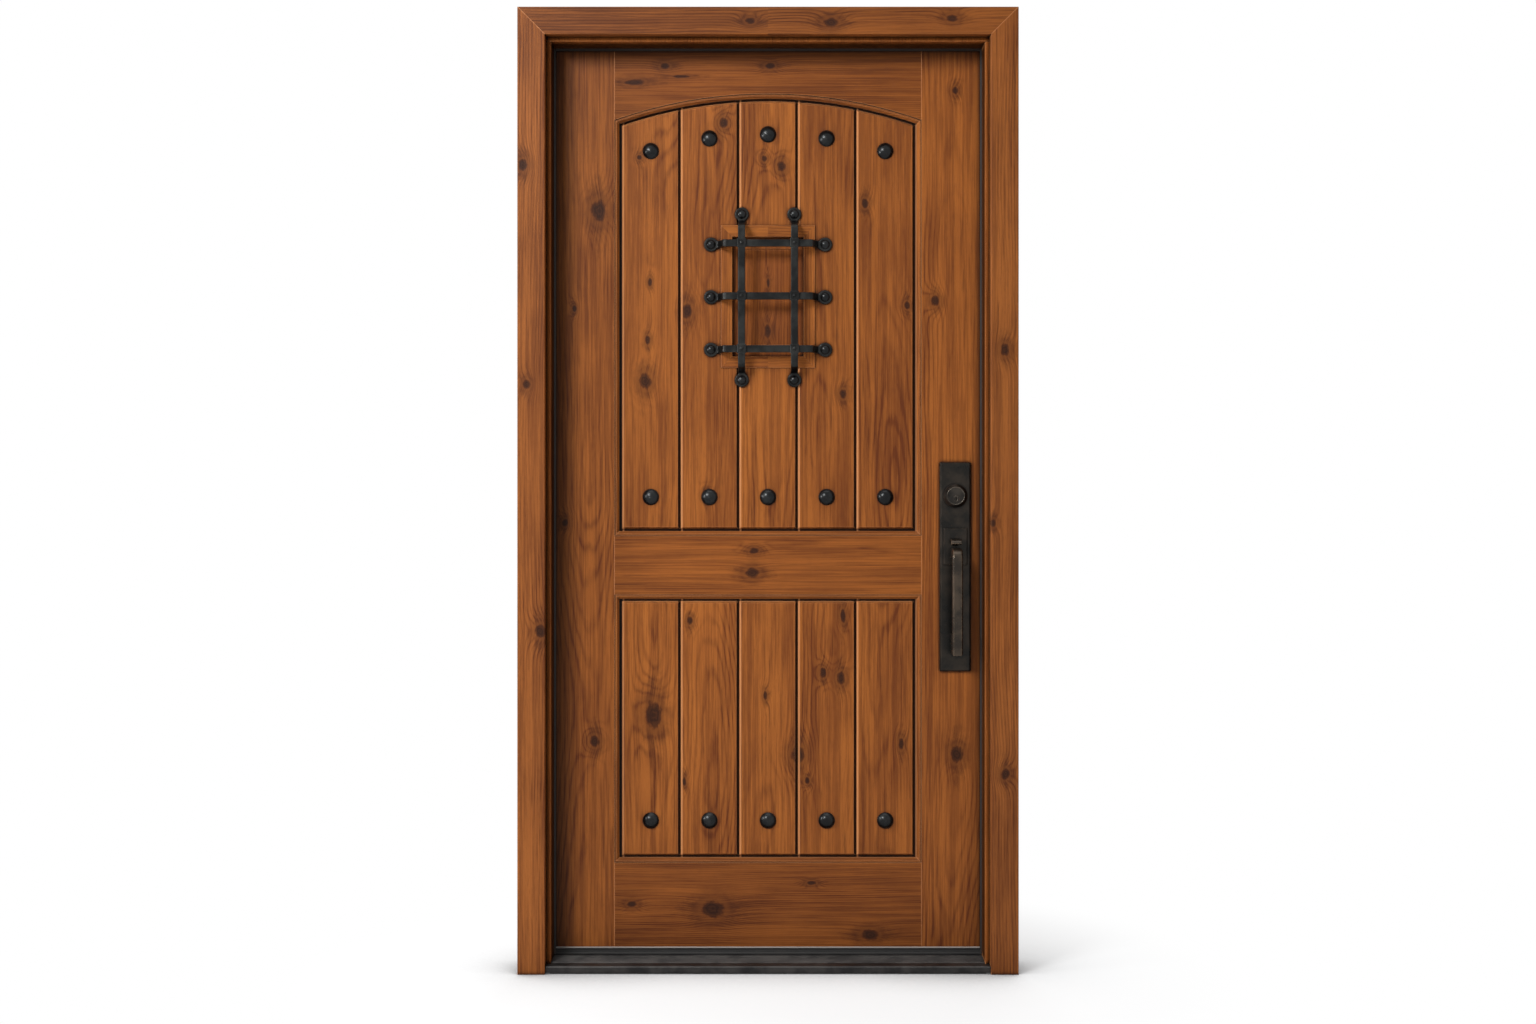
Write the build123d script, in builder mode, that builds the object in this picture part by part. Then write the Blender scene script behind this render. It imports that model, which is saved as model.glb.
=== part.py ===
"""Knotty wood front door in its frame, with a grilled viewing door and a full-plate handle set.

Millimetres. X runs to the right seen from outside, Y runs inwards, Z is up. The origin is the middle
of the sill's foot, in the plane of the jambs' outer edges.
"""

import os
from math import asin, atan, cos, degrees, sin, sqrt

from build123d import *

os.makedirs("parts", exist_ok=True)

# Clearances
running_fit = 0.05
loose_fit = 0.25
pocket_fit = 0.1
mitre_kerf = 0.2
seal_gap = 0.3
seal_joint = 0.2
hub_gap = 0.2
tail_gap = 0.3
bolt_inset = 0.2

# Slab
slab_width = 978.0
slab_height = 2021.0
slab_thick = 44.5
slab_foot = 40.0
slab_gap = 3.0
stile_width = 145.0
bottom_rail_height = 188.0
lower_panel_height = 601.0
mid_rail_height = 132.0
top_rail_middle = 109.2
arch_rise = 59.0

# Sticking and planks
stick_width = 10.0
stick_depth = 8.0
bead_drop = 2.0
bead_edge = 5.0
quirk_width = 1.6
quirk_depth = 4.5
shadow_gap = 5.0
plank_count = 5
plank_chamfer = 4.5
plank_gap = 1.4
tongue_thick = 11.0
tongue_reach = 8.0
edge_tongue = 7.0

# Frame
stop_depth = 66.0
stop_height = 13.0
seal_room = 5.5
jamb_wall = 19.0
jamb_reveal = 10.0
casing_width = 60.5
casing_thick = 25.0
casing_round = 2.0
relief_gap = 2.0
relief_width = 8.0
relief_depth = 2.0
jamb_ease = 1.5

# Weatherstrip
seal_show = 4.0
kerf_width = 3.0
kerf_depth = 10.0
kerf_inset = 4.0

# Sill
nose_reach = 19.0
nose_foot = 3.0
nose_top = 17.0
nose_round = 2.0
deck_rise = 6.0
deck_wall = 2.5
rib_count = 8
rib_pitch = 7.0
rib_width = 3.2
rib_height = 1.0
rib_start = 6.0
cap_rise = 3.0
cap_height = 8.5
cap_round = 3.0
sweep_clear = 0.5
sweep_body = 4.0
sweep_inset = 2.0
fin_width = 2.5
fin_count = 3
drip_reach = 2.0
drip_height = 3.5

# Butt hinges
hinge_height = 102.0
hinge_top_drop = 178.0
hinge_foot_rise = 279.0
leaf_thick = 3.0
leaf_depth = 32.0
knuckle_count = 5
knuckle_gap = 0.3
barrel_radius = 7.0
barrel_stand = 2.0
pin_radius = 3.5
pin_tip_radius = 5.0
pin_tip = 4.0
screw_head = 4.5
screw_land = 0.4
screw_radius = 2.3
screw_length = 15.0
screw_edge = 10.0
screw_row = 12.0

# Domed nails of the planks
nail_radius = 18.0
nail_dome = 11.0
nail_rim = 1.5
nail_shank = 3.0
nail_length = 16.0
nail_arch_inset = 90.0
nail_upper_rise = 86.5
nail_lower_rise = 93.3

# Viewing opening
view_drop = 454.2
view_half_width = 80.0
view_half_height = 134.0
view_band = 26.0
view_proud = 3.0
view_lining = 10.0
view_rabbet = 6.0
view_rabbet_start = 11.5
view_door_thick = 19.7
view_door_gap = 0.7
view_door_swing_gap = 2.0
view_panel_inset = 24.0
view_panel_sink = 3.0
view_hinge_height = 50.0
view_hinge_spread = 85.0
view_leaf = 1.5
view_leaf_width = 14.0
view_barrel = 3.3
view_pin = 1.5
view_knuckle_gap = 0.15
view_leaf_gap = 0.4
view_axis_stand = 0.2
view_ease = 1.2
pull_radius = 11.0
pull_reach = 20.0
pull_inset = 16.0

# Grille
grille_lift = -1.6
bar_width = 16.0
bar_thick = 5.5
bar_reach = 38.0
bar_bevel = 1.2
collar_side = 20.0
collar_proud = 1.0
upright_x = 59.0
level_pitch = 118.0
level_pad = 128.0
upright_pad = 186.0
pad_radius = 15.5
bend_start = 2.0
bend_run = 12.0
bend_radius = 8.0
pad_nail_radius = 10.5
pad_nail_dome = 6.5
pad_nail_shank = 2.2
pad_nail_length = 18.0
rivet_shank = 2.2
rivet_radius = 4.5
rivet_dome = 2.4
rivet_rim = 0.4

# Handle set
backset = 70.0
lock_height = 1050.0
latch_height = 925.0
cross_bore = 27.0
edge_bore = 12.7
plate_width = 68.6
plate_top = 1125.0
plate_foot = 658.0
plate_thick = 8.5
plate_bevel = 2.5
raised_width = 53.6
raised_top = 978.0
raised_foot = 895.5
raised_thick = 4.0
raised_bevel = 1.2
grip_width = 23.5
grip_top = 934.0
grip_foot = 696.0
grip_foot_height = 47.0
grip_reach = 55.0
grip_thick = 14.0
grip_bow = 3.0
grip_arm = 22.0
grip_shoulder = 26.0
grip_inner = 12.0
grip_toe = 8.0
grip_bevel = 3.0
thumb_width = 24.0
thumb_neck = 10.0
thumb_height = 948.0
thumb_pivot_sink = 4.0
thumb_trunnion = 1.5
thumb_reach = 27.0
thumb_stand = 1.0
thumb_thick = 4.0
slot_room = 1.0
slot_up = 6.0
slot_down = 9.0
housing_radius = 26.5
housing_face = 20.0
housing_reach = 16.0
housing_body = 19.0
housing_sink = 1.5
housing_lip = 1.5
housing_slope = 8.0
housing_tail = 6.0
plug_stand = 0.6
plug_radius = 7.0
plug_drop = 6.0
plug_shift = 1.5
key_slot_width = 2.4
key_slot_height = 8.5
key_slot_depth = 5.0
tail_radius = 2.5

# Lock works
face_plate_height = 57.0
face_plate_width = 25.4
face_plate_thick = 2.5
case_wall = 1.3
cheek_gap = 16.0
cheek_thick = 1.6
cheek_height = 26.0
cheek_length = 42.0
dead_width = 13.0
dead_height = 18.0
latch_width = 13.0
latch_bolt_height = 15.0
latch_throw = 12.0
bolt_length = 38.0
strike_thick = 1.6
strike_height = 70.0
strike_width = 28.0
pocket_room = 1.5
insert_height = 90.0
insert_depth = 42.0

# Inside trim
inside_plate_top = 1110.0
inside_plate_foot = 868.0
inside_plate_thick = 6.0
spindle_radius = 5.0
hub_radius = 13.0
hub_reach = 34.0
lever_length = 112.0
lever_thick = 13.0
lever_height = 20.0
turn_hub = 11.0
turn_hub_reach = 9.0
turn_width = 11.0
turn_height = 36.0
turn_reach = 17.0

# Derived planes, seen from outside
door_face = stop_depth + seal_room
room_face = door_face + slab_thick
slab_side = slab_width / 2
slab_top = slab_foot + slab_height
rabbet_side = slab_side + slab_gap
rabbet_top = slab_top + slab_gap
daylight = rabbet_side - stop_height
daylight_top = rabbet_top - stop_height
jamb_back = rabbet_side + jamb_wall
jamb_top = rabbet_top + jamb_wall
casing_inner = daylight + jamb_reveal
casing_inner_top = daylight_top + jamb_reveal
relief_near = jamb_back - casing_inner + relief_gap
relief_far = relief_near + relief_width

# Derived panel outlines
panel_side = slab_side - stile_width
lower_foot = slab_foot + bottom_rail_height
lower_top = lower_foot + lower_panel_height
upper_foot = lower_top + mid_rail_height
arch_top = slab_top - top_rail_middle
arch_radius = (panel_side**2 + arch_rise**2) / (2 * arch_rise)
arch_centre = arch_top - arch_radius
view_height = arch_top - view_drop
plank_face = door_face + stick_depth
plank_thick = slab_thick - 2 * stick_depth
plank_back = plank_face + plank_thick
tongue_front = plank_face + (plank_thick - tongue_thick) / 2
plank_side = panel_side - stick_width - shadow_gap
plank_pitch = 2 * plank_side / plank_count
slab_middle = door_face + slab_thick / 2


def facing_out(y):
    """Plane across the door at depth y, drawn in X and Z, with its normal to the outside."""
    return Plane.XZ.offset(-y)


def facing_in(y):
    """Plane across the door at depth y with its normal to the room; its own X runs to the left."""
    return Plane(origin=(0, y, 0), x_dir=(-1, 0, 0), z_dir=(0, 1, 0))


def block(x0, x1, y0, y1, z0, z1, mode=Mode.ADD):
    """Straight block between two opposite corners."""
    with Locations(((x0 + x1) / 2, (y0 + y1) / 2, (z0 + z1) / 2)):
        Box(abs(x1 - x0), abs(y1 - y0), abs(z1 - z0), mode=mode)


def drum(centre, radius, y0, y1, mode=Mode.ADD):
    """Round bar or bore along Y."""
    with Locations(Location((centre[0], (y0 + y1) / 2, centre[1]), (90, 0, 0))):
        Cylinder(radius, y1 - y0, mode=mode)


def side_drum(centre, radius, x0, x1, mode=Mode.ADD):
    """Round bar or bore along X, at a depth and a height."""
    with Locations(Location(((x0 + x1) / 2, centre[0], centre[1]), (0, 90, 0))):
        Cylinder(radius, x1 - x0, mode=mode)


def post(centre, radius, z0, z1, mode=Mode.ADD):
    """Round bar or bore along Z, at an X and a depth."""
    with Locations((centre[0], centre[1], (z0 + z1) / 2)):
        Cylinder(radius, z1 - z0, mode=mode)


def save(builder, name):
    """Name a finished node and write it."""
    builder.part.label = name
    export_step(builder.part, f"parts/{name}.step")


def side_board(near, far):
    """Upright band between two distances out from the casings' inner edge, mitred at its head."""
    low, high = casing_inner + near, casing_inner + far
    Polygon((-high, 0), (-low, 0), (-low, casing_inner_top + near), (-high, casing_inner_top + far),
            align=None)


def head_board(near, far):
    """Level band between two distances out from the casings' inner edge, mitred at both ends."""
    low, high = casing_inner + near, casing_inner + far
    Polygon((-high, casing_inner_top + far), (-low, casing_inner_top + near), (low, casing_inner_top + near),
            (high, casing_inner_top + far), align=None)


# Casings, mitred at the head, with a relief along the back just beyond the jamb
with BuildPart() as casing_left:
    with BuildSketch(facing_out(0)):
        side_board(0, casing_width)
    extrude(amount=casing_thick)
    fillet(casing_left.edges().filter_by(Axis.Z).group_by(Axis.Y)[0], casing_round)
    with BuildSketch(facing_out(0)):
        side_board(relief_near, relief_far)
    extrude(amount=relief_depth, mode=Mode.SUBTRACT)
save(casing_left, "casing_left")

with BuildPart() as casing_right:
    add(mirror(casing_left.part, about=Plane.YZ, mode=Mode.PRIVATE))
save(casing_right, "casing_right")

with BuildPart() as casing_head:
    with BuildSketch(facing_out(0)):
        head_board(0, casing_width)
    extrude(amount=casing_thick)
    fillet(casing_head.edges().filter_by(Axis.X).group_by(Axis.Y)[0], casing_round)
    with BuildSketch(facing_out(0)):
        head_board(relief_near, relief_far)
    extrude(amount=relief_depth, mode=Mode.SUBTRACT)
save(casing_head, "casing_head")

# Hinges: heights and axis
hinge_top = slab_top - hinge_top_drop - hinge_height / 2
hinge_low = slab_foot + hinge_foot_rise + hinge_height / 2
hinge_heights = (hinge_low, (hinge_low + hinge_top) / 2, hinge_top)
axis_x = -slab_side - slab_gap / 2
axis_y = room_face + barrel_stand + barrel_radius
hinge_axis = (axis_x, axis_y)
leaf_front = room_face - leaf_depth
knuckle_height = hinge_height / knuckle_count


def screw_body(grow):
    """Countersunk screw with its head at the origin and its tip along Z, or the hole for it."""
    with BuildPart() as body:
        with BuildSketch(Plane.XZ):
            Polygon((0, -grow), (screw_head + grow, -grow), (screw_head + grow, screw_land),
                    (screw_radius + grow, screw_land + screw_head - screw_radius),
                    (screw_radius + grow, screw_length + grow), (0, screw_length + grow), align=None)
        revolve(axis=Axis.Z)
    return body.part


def hinge_screws(x, turn):
    """Places of the four screws of each leaf, in two staggered rows."""
    return [Location((x, leaf_front + screw_edge + (row % 2) * screw_row, height + (row - 1.5) * 26), turn)
            for height in hinge_heights for row in range(4)]


screw = screw_body(0)
screw_hole = screw_body(running_fit)
into_jamb = hinge_screws(-rabbet_side, (0, -90, 0))
into_stile = hinge_screws(-slab_side, (0, 90, 0))

# Strikes: a pocket for each bolt behind a let-in plate
strikes = ((latch_height, latch_width, latch_bolt_height, latch_throw),
           (lock_height, dead_width, dead_height, jamb_wall + slab_gap + pocket_room))
strike_rise = strike_height / 2 - 9
into_strike = [Location((rabbet_side, slab_middle, height + side * strike_rise), (0, 90, 0))
               for height, *_ in strikes for side in (-1, 1)]

insert_foot, insert_top = lock_height - insert_height / 2, lock_height + insert_height / 2
insert_front = room_face - insert_depth


def cut_strikes():
    """Recess for each let-in strike plate, the pocket of its bolt and its screw holes."""
    for height, width, tall, depth in strikes:
        block(rabbet_side, rabbet_side + strike_thick, slab_middle - strike_width / 2 - pocket_fit,
              room_face, height - strike_height / 2 - pocket_fit,
              height + strike_height / 2 + pocket_fit, mode=Mode.SUBTRACT)
        block(rabbet_side, rabbet_side + depth, slab_middle - width / 2 - pocket_room,
              slab_middle + width / 2 + pocket_room, height - tall / 2 - pocket_room,
              height + tall / 2 + pocket_room, mode=Mode.SUBTRACT)
    with Locations(*into_strike):
        add(screw_hole, mode=Mode.SUBTRACT)


# Flat jambs, with a hard block let in behind the deadbolt's strike
with BuildPart() as hinge_jamb:
    block(-jamb_back, -rabbet_side, 0, room_face, 0, jamb_top)
    for height in hinge_heights:
        block(-rabbet_side - leaf_thick, -rabbet_side, leaf_front - pocket_fit, room_face,
              height - hinge_height / 2 - pocket_fit, height + hinge_height / 2 + pocket_fit,
              mode=Mode.SUBTRACT)
    with Locations(*into_jamb):
        add(screw_hole, mode=Mode.SUBTRACT)
save(hinge_jamb, "hinge_jamb")

with BuildPart() as strike_jamb:
    block(rabbet_side, jamb_back, 0, room_face, 0, jamb_top)
    block(rabbet_side, jamb_back, insert_front, room_face, insert_foot, insert_top, mode=Mode.SUBTRACT)
    cut_strikes()
save(strike_jamb, "strike_jamb")

with BuildPart() as strike_insert:
    block(rabbet_side, jamb_back, insert_front, room_face, insert_foot, insert_top)
    cut_strikes()
save(strike_insert, "strike_insert")

with BuildPart() as head_jamb:
    block(-rabbet_side, rabbet_side, 0, room_face, rabbet_top, jamb_top)
save(head_jamb, "head_jamb")

# Stops on the jambs, eased in front and kerfed behind for the weatherstrip
with BuildPart() as door_stops:
    for side in (-1, 1):
        block(side * daylight, side * rabbet_side, 0, stop_depth, 0, daylight_top - mitre_kerf)
    block(-rabbet_side, rabbet_side, 0, stop_depth, daylight_top, rabbet_top)
    chamfer(door_stops.edges().group_by(Axis.Y)[0].filter_by(
        lambda edge: (abs(edge.length - 2 * rabbet_side) < 1 and edge.center().Z < daylight_top + 1)
        or (edge.length > slab_height - 1 and abs(edge.center().X) < daylight + 1)), jamb_ease)
    for side in (-1, 1):
        block(side * (rabbet_side - kerf_inset - kerf_width), side * (rabbet_side - kerf_inset),
              stop_depth - kerf_depth, stop_depth, 0, rabbet_top, mode=Mode.SUBTRACT)
    block(-daylight, daylight, stop_depth - kerf_depth, stop_depth,
          rabbet_top - kerf_inset - kerf_width, rabbet_top - kerf_inset, mode=Mode.SUBTRACT)
save(door_stops, "door_stops")

with BuildPart() as strike_plates:
    for height, width, tall, depth in strikes:
        block(rabbet_side, rabbet_side + strike_thick, slab_middle - strike_width / 2, room_face,
              height - strike_height / 2, height + strike_height / 2)
        block(rabbet_side, rabbet_side + strike_thick, slab_middle - width / 2 - pocket_room,
              slab_middle + width / 2 + pocket_room, height - tall / 2 - pocket_room,
              height + tall / 2 + pocket_room, mode=Mode.SUBTRACT)
    with Locations(*into_strike):
        add(screw_hole, mode=Mode.SUBTRACT)
save(strike_plates, "strike_plates")

# Weatherstrip: a soft bulb on a barb in the kerf
seal_y = door_face - seal_gap


def deck_height(y):
    """Height of the sloping sill deck at a depth."""
    return nose_top + deck_rise * (y + nose_reach) / (stop_depth + nose_reach)


deck_top = deck_height(door_face)
with BuildPart() as weatherstrip:
    for side in (-1, 1):
        with BuildSketch(Plane.XY.offset(deck_top + seal_gap)):
            with BuildLine():
                Polyline((side * (rabbet_side - seal_gap), stop_depth),
                         (side * (rabbet_side - seal_gap), seal_y),
                         (side * (daylight - seal_show + 2.5), seal_y))
                ThreePointArc((side * (daylight - seal_show + 2.5), seal_y),
                              (side * (daylight - seal_show), (seal_y + stop_depth) / 2),
                              (side * (daylight - seal_show + 2.5), stop_depth))
                Line((side * (daylight - seal_show + 2.5), stop_depth),
                     (side * (rabbet_side - seal_gap), stop_depth))
            make_face()
            with Locations((side * (rabbet_side - kerf_inset - kerf_width / 2),
                            stop_depth - kerf_depth / 2 + 0.5)):
                Rectangle(kerf_width - 2 * pocket_fit, kerf_depth)
        extrude(amount=rabbet_top - deck_top - 2 * seal_gap)
    with BuildSketch(Plane.YZ.offset(-daylight + seal_show + seal_joint)):
        with Locations(((seal_y + stop_depth) / 2, (rabbet_top + daylight_top - seal_gap - seal_show) / 2)):
            Rectangle(seal_y - stop_depth, stop_height + seal_show - seal_gap)
        with Locations((stop_depth - kerf_depth / 2 + 0.5, rabbet_top - kerf_inset - kerf_width / 2)):
            Rectangle(kerf_depth, kerf_width - 2 * pocket_fit)
    extrude(amount=2 * (daylight - seal_show - seal_joint))
save(weatherstrip, "weatherstrip")

# Sill: substrate, ribbed metal deck with its nosing, and cap
cap_foot = nose_top + cap_rise
nose_back = -nose_reach + deck_wall
base_front = nose_back + loose_fit
with BuildPart() as sill_base:
    with BuildSketch(Plane.YZ.offset(-daylight)):
        Polygon((base_front, 0), (stop_depth, 0), (stop_depth, deck_height(stop_depth) - deck_wall),
                (base_front + nose_round, deck_height(base_front + nose_round) - deck_wall),
                (base_front, nose_top - deck_wall - nose_round), align=None)
    extrude(amount=2 * daylight)
    block(-rabbet_side, rabbet_side, stop_depth, room_face, 0, cap_foot)
save(sill_base, "sill_base")


def deck_profile(back):
    """Section of the deck from its hooked nosing to a depth."""
    Polygon((-nose_reach, nose_foot), (-nose_reach, nose_top - nose_round),
            (-nose_reach + nose_round, deck_height(-nose_reach + nose_round)), (back, deck_height(back)),
            (back, deck_height(back) - deck_wall), (nose_back + 1, deck_height(nose_back + 1) - deck_wall),
            (nose_back, nose_top - deck_wall - 1), (nose_back, nose_foot), align=None)


with BuildPart() as sill_deck:
    with BuildSketch(Plane.YZ.offset(-daylight)):
        deck_profile(door_face)
        for rib in range(rib_count):
            y = rib_start + rib * rib_pitch
            rise = deck_height(y)
            Polygon((y, rise - 1), (y + rib_width, rise - 1), (y + rib_width - 0.7, rise + rib_height),
                    (y + 0.7, rise + rib_height), align=None)
    extrude(amount=2 * daylight)
    for side in (-1, 1):
        with BuildSketch(Plane.YZ.offset(side * daylight)):
            deck_profile(-loose_fit)
        extrude(amount=side * (jamb_reveal - loose_fit))
save(sill_deck, "sill_deck")

with BuildPart() as sill_cap:
    with BuildSketch(Plane.YZ.offset(-rabbet_side)):
        Polygon((door_face, cap_foot), (room_face, cap_foot), (room_face, cap_foot + cap_height),
                (door_face + cap_round, cap_foot + cap_height),
                (door_face, cap_foot + cap_height - cap_round), align=None)
    extrude(amount=2 * rabbet_side)
save(sill_cap, "sill_cap")

# Hinge leaves: each keeps its own knuckles, and the other's stay free


def leaf_set(plate_x, first, places):
    """Three leaves beside the hinge axis, with every second knuckle from the one given."""
    near = axis_y - barrel_radius - 0.9
    with BuildPart() as leaves:
        for height in hinge_heights:
            foot = height - hinge_height / 2
            block(plate_x, plate_x + leaf_thick, leaf_front, near, foot, foot + hinge_height)
            for knuckle in range(first, knuckle_count, 2):
                low = foot + knuckle * knuckle_height + (knuckle_gap / 2 if knuckle else 0)
                high = foot + (knuckle + 1) * knuckle_height
                high -= knuckle_gap / 2 if knuckle < knuckle_count - 1 else 0
                block(plate_x, plate_x + leaf_thick, near, axis_y, low, high)
                post(hinge_axis, barrel_radius, low, high)
            post(hinge_axis, pin_radius + running_fit, foot, foot + hinge_height, mode=Mode.SUBTRACT)
        with Locations(*places):
            add(screw_hole, mode=Mode.SUBTRACT)
    return leaves


hinge_frame_leaves = leaf_set(-rabbet_side - leaf_thick, 0, into_jamb)
save(hinge_frame_leaves, "hinge_frame_leaves")
hinge_door_leaves = leaf_set(-slab_side, 1, into_stile)
save(hinge_door_leaves, "hinge_door_leaves")

with BuildPart() as hinge_pins:
    for height in hinge_heights:
        foot, top = height - hinge_height / 2, height + hinge_height / 2
        post(hinge_axis, pin_radius, foot, top)
        post(hinge_axis, pin_tip_radius, top, top + pin_tip)
        post(hinge_axis, pin_tip_radius, foot - pin_tip, foot)
    chamfer(hinge_pins.edges().filter_by(GeomType.CIRCLE).filter_by(
        lambda edge: edge.radius > pin_radius + 1 and
        min(abs(edge.center().Z - height - side * (hinge_height / 2 + pin_tip))
            for height in hinge_heights for side in (-1, 1)) < 0.01), 1.5)
save(hinge_pins, "hinge_pins")

with BuildPart() as frame_screws:
    with Locations(*into_jamb, *into_strike):
        add(screw)
save(frame_screws, "frame_screws")

with BuildPart() as door_screws:
    with Locations(*into_stile):
        add(screw)
save(door_screws, "door_screws")


def lower_outline(inset, mode=Mode.ADD):
    """Outline of the lower panel's opening, drawn in by an inset."""
    with Locations((0, (lower_foot + lower_top) / 2)):
        Rectangle(2 * (panel_side - inset), lower_panel_height - 2 * inset, mode=mode)


def upper_outline(inset, mode=Mode.ADD):
    """Outline of the arched upper panel's opening, drawn in by an inset."""
    side, foot, radius = panel_side - inset, upper_foot + inset, arch_radius - inset
    spring = arch_centre + sqrt(radius**2 - side**2)
    with BuildLine() as border:
        Polyline((-side, spring), (-side, foot), (side, foot), (side, spring))
        ThreePointArc((side, spring), (0, arch_centre + radius), (-side, spring))
    make_face(border.edges(), mode=mode)


def work_edges():
    """Cut the quirk, bead and slope of the sticking on both faces, and the groove for the tongues."""
    slope_depth = stick_depth - bead_drop
    slope = degrees(atan((stick_width - bead_edge) / slope_depth))
    for outline in (lower_outline, upper_outline):
        for face, bead in ((facing_in(door_face), facing_in(door_face + bead_drop)),
                           (facing_out(room_face), facing_out(room_face - bead_drop))):
            with BuildSketch(face) as opening:
                outline(0)
            extrude(opening.sketch, amount=bead_drop, mode=Mode.SUBTRACT)
            with BuildSketch(bead) as inner:
                outline(bead_edge)
            extrude(inner.sketch, amount=slope_depth, taper=slope, mode=Mode.SUBTRACT)
            with BuildSketch(bead) as quirk:
                outline(0)
                outline(quirk_width, mode=Mode.SUBTRACT)
            extrude(quirk.sketch, amount=quirk_depth - bead_drop, mode=Mode.SUBTRACT)
        with BuildSketch(facing_in(tongue_front - loose_fit)) as groove:
            outline(0)
        extrude(groove.sketch, amount=tongue_thick + 2 * loose_fit, mode=Mode.SUBTRACT)


# Stiles and rails, with the sticking mitred where they meet
stick_side = panel_side - stick_width
stick_spring = arch_centre + sqrt((arch_radius - stick_width)**2 - stick_side**2)
arch_spring = arch_centre + sqrt(arch_radius**2 - panel_side**2)
stile_points = ((slab_side, slab_foot), (panel_side, slab_foot), (panel_side, lower_foot),
                (stick_side, lower_foot + stick_width), (stick_side, lower_top - stick_width),
                (panel_side, lower_top), (panel_side, upper_foot),
                (stick_side, upper_foot + stick_width), (stick_side, stick_spring),
                (panel_side, arch_spring), (panel_side, slab_top), (slab_side, slab_top))

with BuildPart() as hinge_stile:
    with BuildSketch(facing_out(door_face)):
        Polygon(*[(-x, z) for x, z in stile_points], align=None)
    extrude(amount=-slab_thick)
    work_edges()
    for height in hinge_heights:
        block(-slab_side, -slab_side + leaf_thick, leaf_front - pocket_fit, room_face,
              height - hinge_height / 2 - pocket_fit, height + hinge_height / 2 + pocket_fit,
              mode=Mode.SUBTRACT)
    with Locations(*into_stile):
        add(screw_hole, mode=Mode.SUBTRACT)
save(hinge_stile, "hinge_stile")

bore_x = slab_side - backset
with BuildPart() as lock_stile:
    with BuildSketch(facing_out(door_face)):
        Polygon(*stile_points, align=None)
    extrude(amount=-slab_thick)
    work_edges()
    for height in (latch_height, lock_height):
        drum((bore_x, height), cross_bore, door_face, room_face, mode=Mode.SUBTRACT)
        side_drum((slab_middle, height), edge_bore, bore_x, slab_side, mode=Mode.SUBTRACT)
        block(slab_side - face_plate_thick, slab_side, slab_middle - face_plate_width / 2 - pocket_fit,
              slab_middle + face_plate_width / 2 + pocket_fit, height - face_plate_height / 2 - pocket_fit,
              height + face_plate_height / 2 + pocket_fit, mode=Mode.SUBTRACT)
save(lock_stile, "lock_stile")

with BuildPart() as bottom_rail:
    with BuildSketch(facing_out(door_face)):
        Polygon((-panel_side, slab_foot), (panel_side, slab_foot), (panel_side, lower_foot),
                (stick_side, lower_foot + stick_width), (-stick_side, lower_foot + stick_width),
                (-panel_side, lower_foot), align=None)
    extrude(amount=-slab_thick)
    work_edges()
save(bottom_rail, "bottom_rail")

with BuildPart() as mid_rail:
    with BuildSketch(facing_out(door_face)):
        Polygon((-panel_side, lower_top), (-stick_side, lower_top - stick_width),
                (stick_side, lower_top - stick_width), (panel_side, lower_top), (panel_side, upper_foot),
                (stick_side, upper_foot + stick_width), (-stick_side, upper_foot + stick_width),
                (-panel_side, upper_foot), align=None)
    extrude(amount=-slab_thick)
    work_edges()
save(mid_rail, "mid_rail")

with BuildPart() as top_rail:
    with BuildSketch(facing_out(door_face)):
        with BuildLine():
            Polyline((stick_side, stick_spring), (panel_side, arch_spring), (panel_side, slab_top),
                     (-panel_side, slab_top), (-panel_side, arch_spring), (-stick_side, stick_spring))
            ThreePointArc((-stick_side, stick_spring), (0, arch_top - stick_width),
                          (stick_side, stick_spring))
        make_face()
    extrude(amount=-slab_thick)
    work_edges()
save(top_rail, "top_rail")

# Domed nails


def nail_body(radius, dome, rim, shank, length):
    """Domed nail seated at the origin, head to the outside and shank inwards."""
    ball = (radius**2 + (dome - rim)**2) / (2 * (dome - rim))
    half = asin(radius / ball) / 2
    with BuildPart() as body:
        with BuildSketch(Plane.XY):
            with BuildLine():
                Polyline((0, -dome), (0, length), (shank, length), (shank, 0), (radius, 0), (radius, -rim))
                ThreePointArc((radius, -rim), (ball * sin(half), -dome + ball * (1 - cos(half))), (0, -dome))
            make_face()
        revolve(axis=Axis.Y)
    return body.part


plank_middles = [-plank_side + (index + 0.5) * plank_pitch for index in range(plank_count)]
arch_row = [(x, arch_centre + sqrt((arch_radius - nail_arch_inset)**2 - x**2)) for x in plank_middles]
upper_nails = arch_row + [(x, upper_foot + nail_upper_rise) for x in plank_middles]
lower_nails = [(x, lower_foot + nail_lower_rise) for x in plank_middles]

with BuildPart() as clavos:
    with Locations(*[(x, plank_face, z) for x, z in upper_nails + lower_nails]):
        add(nail_body(nail_radius, nail_dome, nail_rim, nail_shank, nail_length))
save(clavos, "clavos")

# Grille places
grille_height = view_height + grille_lift
pad_places = [(side * level_pad, grille_height + row * level_pitch) for side in (-1, 1) for row in (-1, 0, 1)]
pad_places += [(side * upright_x, grille_height + end * upright_pad) for side in (-1, 1) for end in (-1, 1)]
cross_places = [(side * upright_x, grille_height + row * level_pitch)
                for side in (-1, 1) for row in (-1, 0, 1)]
upright_y = plank_face - bar_reach + bar_thick / 2
level_y = upright_y + bar_thick
pad_y = plank_face - bar_thick / 2
collar_face = upright_y - bar_thick / 2 - collar_proud

# Planks of both panels, each with a groove at its hinge side and a tongue at its lock side


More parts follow.
